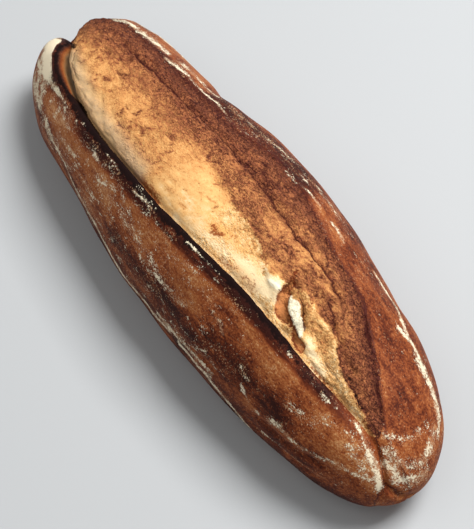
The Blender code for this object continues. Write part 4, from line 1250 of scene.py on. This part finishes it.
# Char on the lip with painted shade underneath, and the painted shadow in the pocket by the notch.
charred_and_shaded = (measure("char") + 2.0 * ragged + 1.0 * grain).between(0.2, 0.85)
colour = (0.96 * charred_and_shaded).mixed(colour, CHAR_AND_SHADE_BLACK)
print("nodes so far:", len(crust.node_tree.nodes))

# %% [markdown]
# ## Flour
#
# Basket flour sits in ragged flecks, dense in the middle of a patch and scattered round it. Its amount only
# shifts the level at which a fine, crumbly noise is cut, so thin places break into specks and thick ones
# close up. A coarser noise shifts that level too, which gathers the loose specks into clumps. Under the
# flecks lie a thin veil where flour is thick, and small light specks of the skin itself.

# %% Flour on top
clumps = speckle(5, 2, 0.6, stretch=(1.5, 1, 1), seed=15) - 0.5
fine_dust = speckle(0.85, 3, 0.8, stretch=(1.3, 1, 1), seed=7)
coarse_dust = speckle(3.2, 3, 0.6, stretch=(2, 1, 1), seed=9)
dust = 0.62 * fine_dust + 0.38 * coarse_dust
flour_lying = measure("flour")
flour_level = 0.69 - 0.3 * flour_lying - 0.32 * clumps
floured = (dust - flour_level).between(-0.005, 0.045)
light_specks = (specks + 0.6 * mottle + 0.35 * flour_lying).between(0.74, 0.82)
light_specks = light_specks * (1 - in_torn) * (1 - charred_and_shaded)
colour = (0.5 * light_specks).mixed(colour, LIGHT_SPECK)
veil = (flour_lying - 0.5).clamped() * (1 + 4 * ragged)
colour = (1.2 * veil * (1 - charred_and_shaded)).mixed(colour, FLOUR_VEIL)
colour = (0.88 * floured).mixed(colour, FLOUR_WHITE)
print("nodes:", len(crust.node_tree.nodes))

# %% [markdown]
# ## Gloss and bump
#
# The skin has a faint shine, the torn dough is dull, and flour is the dullest. The bump carries only what
# is too small for the mesh: the grain of the skin, the crumbly stipple of the band and the thickness of the
# flour.


# %% Roughness and bump
def grey(value):
    """A plain value as a grey, which a Mix node takes."""
    return (value, value, value, 1)


SKIN_ROUGH, TORN_ROUGH = grey(0.58), grey(0.85)
CHAR_ROUGH, FLOUR_ROUGH = grey(0.9), grey(0.95)
roughness = in_torn.mixed(SKIN_ROUGH, TORN_ROUGH)
roughness = charred_and_shaded.mixed(roughness, CHAR_ROUGH)
roughness = floured.mixed(roughness, FLOUR_ROUGH)
skin_height = (0.35 * grain + 0.3 * streaks) * (1 - 0.75 * in_torn * (1 - baked))
crumbly = (0.16 + 0.74 * baked) * (1 - 0.5 * measure("ash"))
torn_height = crumbly * stipple - 0.5 * pores * baked - 0.5 * fine_cracks
torn_height = torn_height + (2.2 * crumble - 0.6 * crevices) * band_bake.between(0.28, 0.55)
height = skin_height + in_torn * torn_height - 0.5 * crack_line + 0.15 * floured
bump_sockets = {"Height": height, "Distance": 1 * MM, "Strength": 0.9}
bump = wires.add("ShaderNodeBump", None, bump_sockets, output="Normal")
print("bump reaches", bump_sockets["Distance"] / MM, "mm")

# %% Wire up the crust
links = crust.node_tree.links
links.new(colour.socket, shader.inputs["Base Color"])
links.new(roughness.socket, shader.inputs["Roughness"])
links.new(bump.socket, shader.inputs["Normal"])
shader.inputs["Metallic"].default_value = 0.0
shader.inputs["Specular IOR Level"].default_value = 0.1
mesh.materials.append(crust)
print("crust:", len(crust.node_tree.nodes), "nodes")

# %% [markdown]
# ## Floor, light and camera
#
# A pale floor and soft light keep the eye on the crust. The main light stands behind the loaf to its right,
# so the ear's flank falls into soft shade. The camera looks down steeply, across the closing end.


# %% Floor
def plain_material(name, colour, roughness):
    """A material of one colour and one roughness."""
    material = bpy.data.materials.new(name)
    material.use_nodes = True
    principled = material.node_tree.nodes["Principled BSDF"]
    principled.inputs["Base Color"].default_value = colour
    principled.inputs["Roughness"].default_value = roughness
    return material


FLOOR_SIZE = 8.0
half = FLOOR_SIZE / 2
floor_mesh = bpy.data.meshes.new("floor")
floor_corners = [(-half, -half, 0), (half, -half, 0), (half, half, 0), (-half, half, 0)]
floor_mesh.from_pydata(floor_corners, [], [(0, 1, 2, 3)])
floor_mesh.materials.append(plain_material("pale_floor", srgb(176, 180, 184), 0.7))
floor = bpy.data.objects.new("floor", floor_mesh)
bpy.context.scene.collection.objects.link(floor)
print("floor:", FLOOR_SIZE, "m")


# %% Lights
def direction(azimuth, elevation):
    """From the loaf towards a light or camera. Azimuth 0 is -Y, and it turns towards +X."""
    a, e = math.radians(azimuth), math.radians(elevation)
    return Vector((math.sin(a) * math.cos(e), -math.cos(a) * math.cos(e), math.sin(e)))


def soft_light(name, azimuth, elevation, distance, size, power, colour):
    """A square soft light that faces the loaf, its size in metres and its power in watts."""
    lamp = bpy.data.lights.new(name, "AREA")
    lamp.shape = "SQUARE"
    lamp.size = size
    lamp.energy = power
    lamp.color = colour
    holder = bpy.data.objects.new(name, lamp)
    holder.location = direction(azimuth, elevation) * distance
    holder.rotation_euler = direction(azimuth, elevation).to_track_quat("Z", "Y").to_euler()
    bpy.context.scene.collection.objects.link(holder)


soft_light("key", 176, 62, 1.6, 0.8, 36, (1.0, 0.98, 0.95))
soft_light("fill", 350, 60, 2.2, 1.6, 9, (1.0, 0.96, 0.9))
world = bpy.data.worlds.new("studio")
world.use_nodes = True
world.node_tree.nodes["Background"].inputs["Color"].default_value = (0.92, 0.91, 0.9, 1)
world.node_tree.nodes["Background"].inputs["Strength"].default_value = 0.28
bpy.context.scene.world = world
bpy.context.scene.view_settings.view_transform = "Standard"

# %% Camera
CAMERA = {"azimuth": 56, "elevation": 60, "distance": 0.85, "lens_mm": 106.97}
LOOK_AT = Vector((18.5, -7.5, 36.9)) * MM
camera_data = bpy.data.cameras.new("camera")
camera_data.lens = CAMERA["lens_mm"]
camera_data.clip_start = 0.01
camera = bpy.data.objects.new("camera", camera_data)
towards = direction(CAMERA["azimuth"], CAMERA["elevation"])
camera.location = LOOK_AT + towards * CAMERA["distance"]
camera.rotation_euler = towards.to_track_quat("Z", "Y").to_euler()
bpy.context.scene.collection.objects.link(camera)
bpy.context.scene.camera = camera
print("camera at", [round(c, 3) for c in camera.location])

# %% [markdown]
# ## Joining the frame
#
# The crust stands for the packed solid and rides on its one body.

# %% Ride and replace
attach(loaf, "root")
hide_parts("loaf")
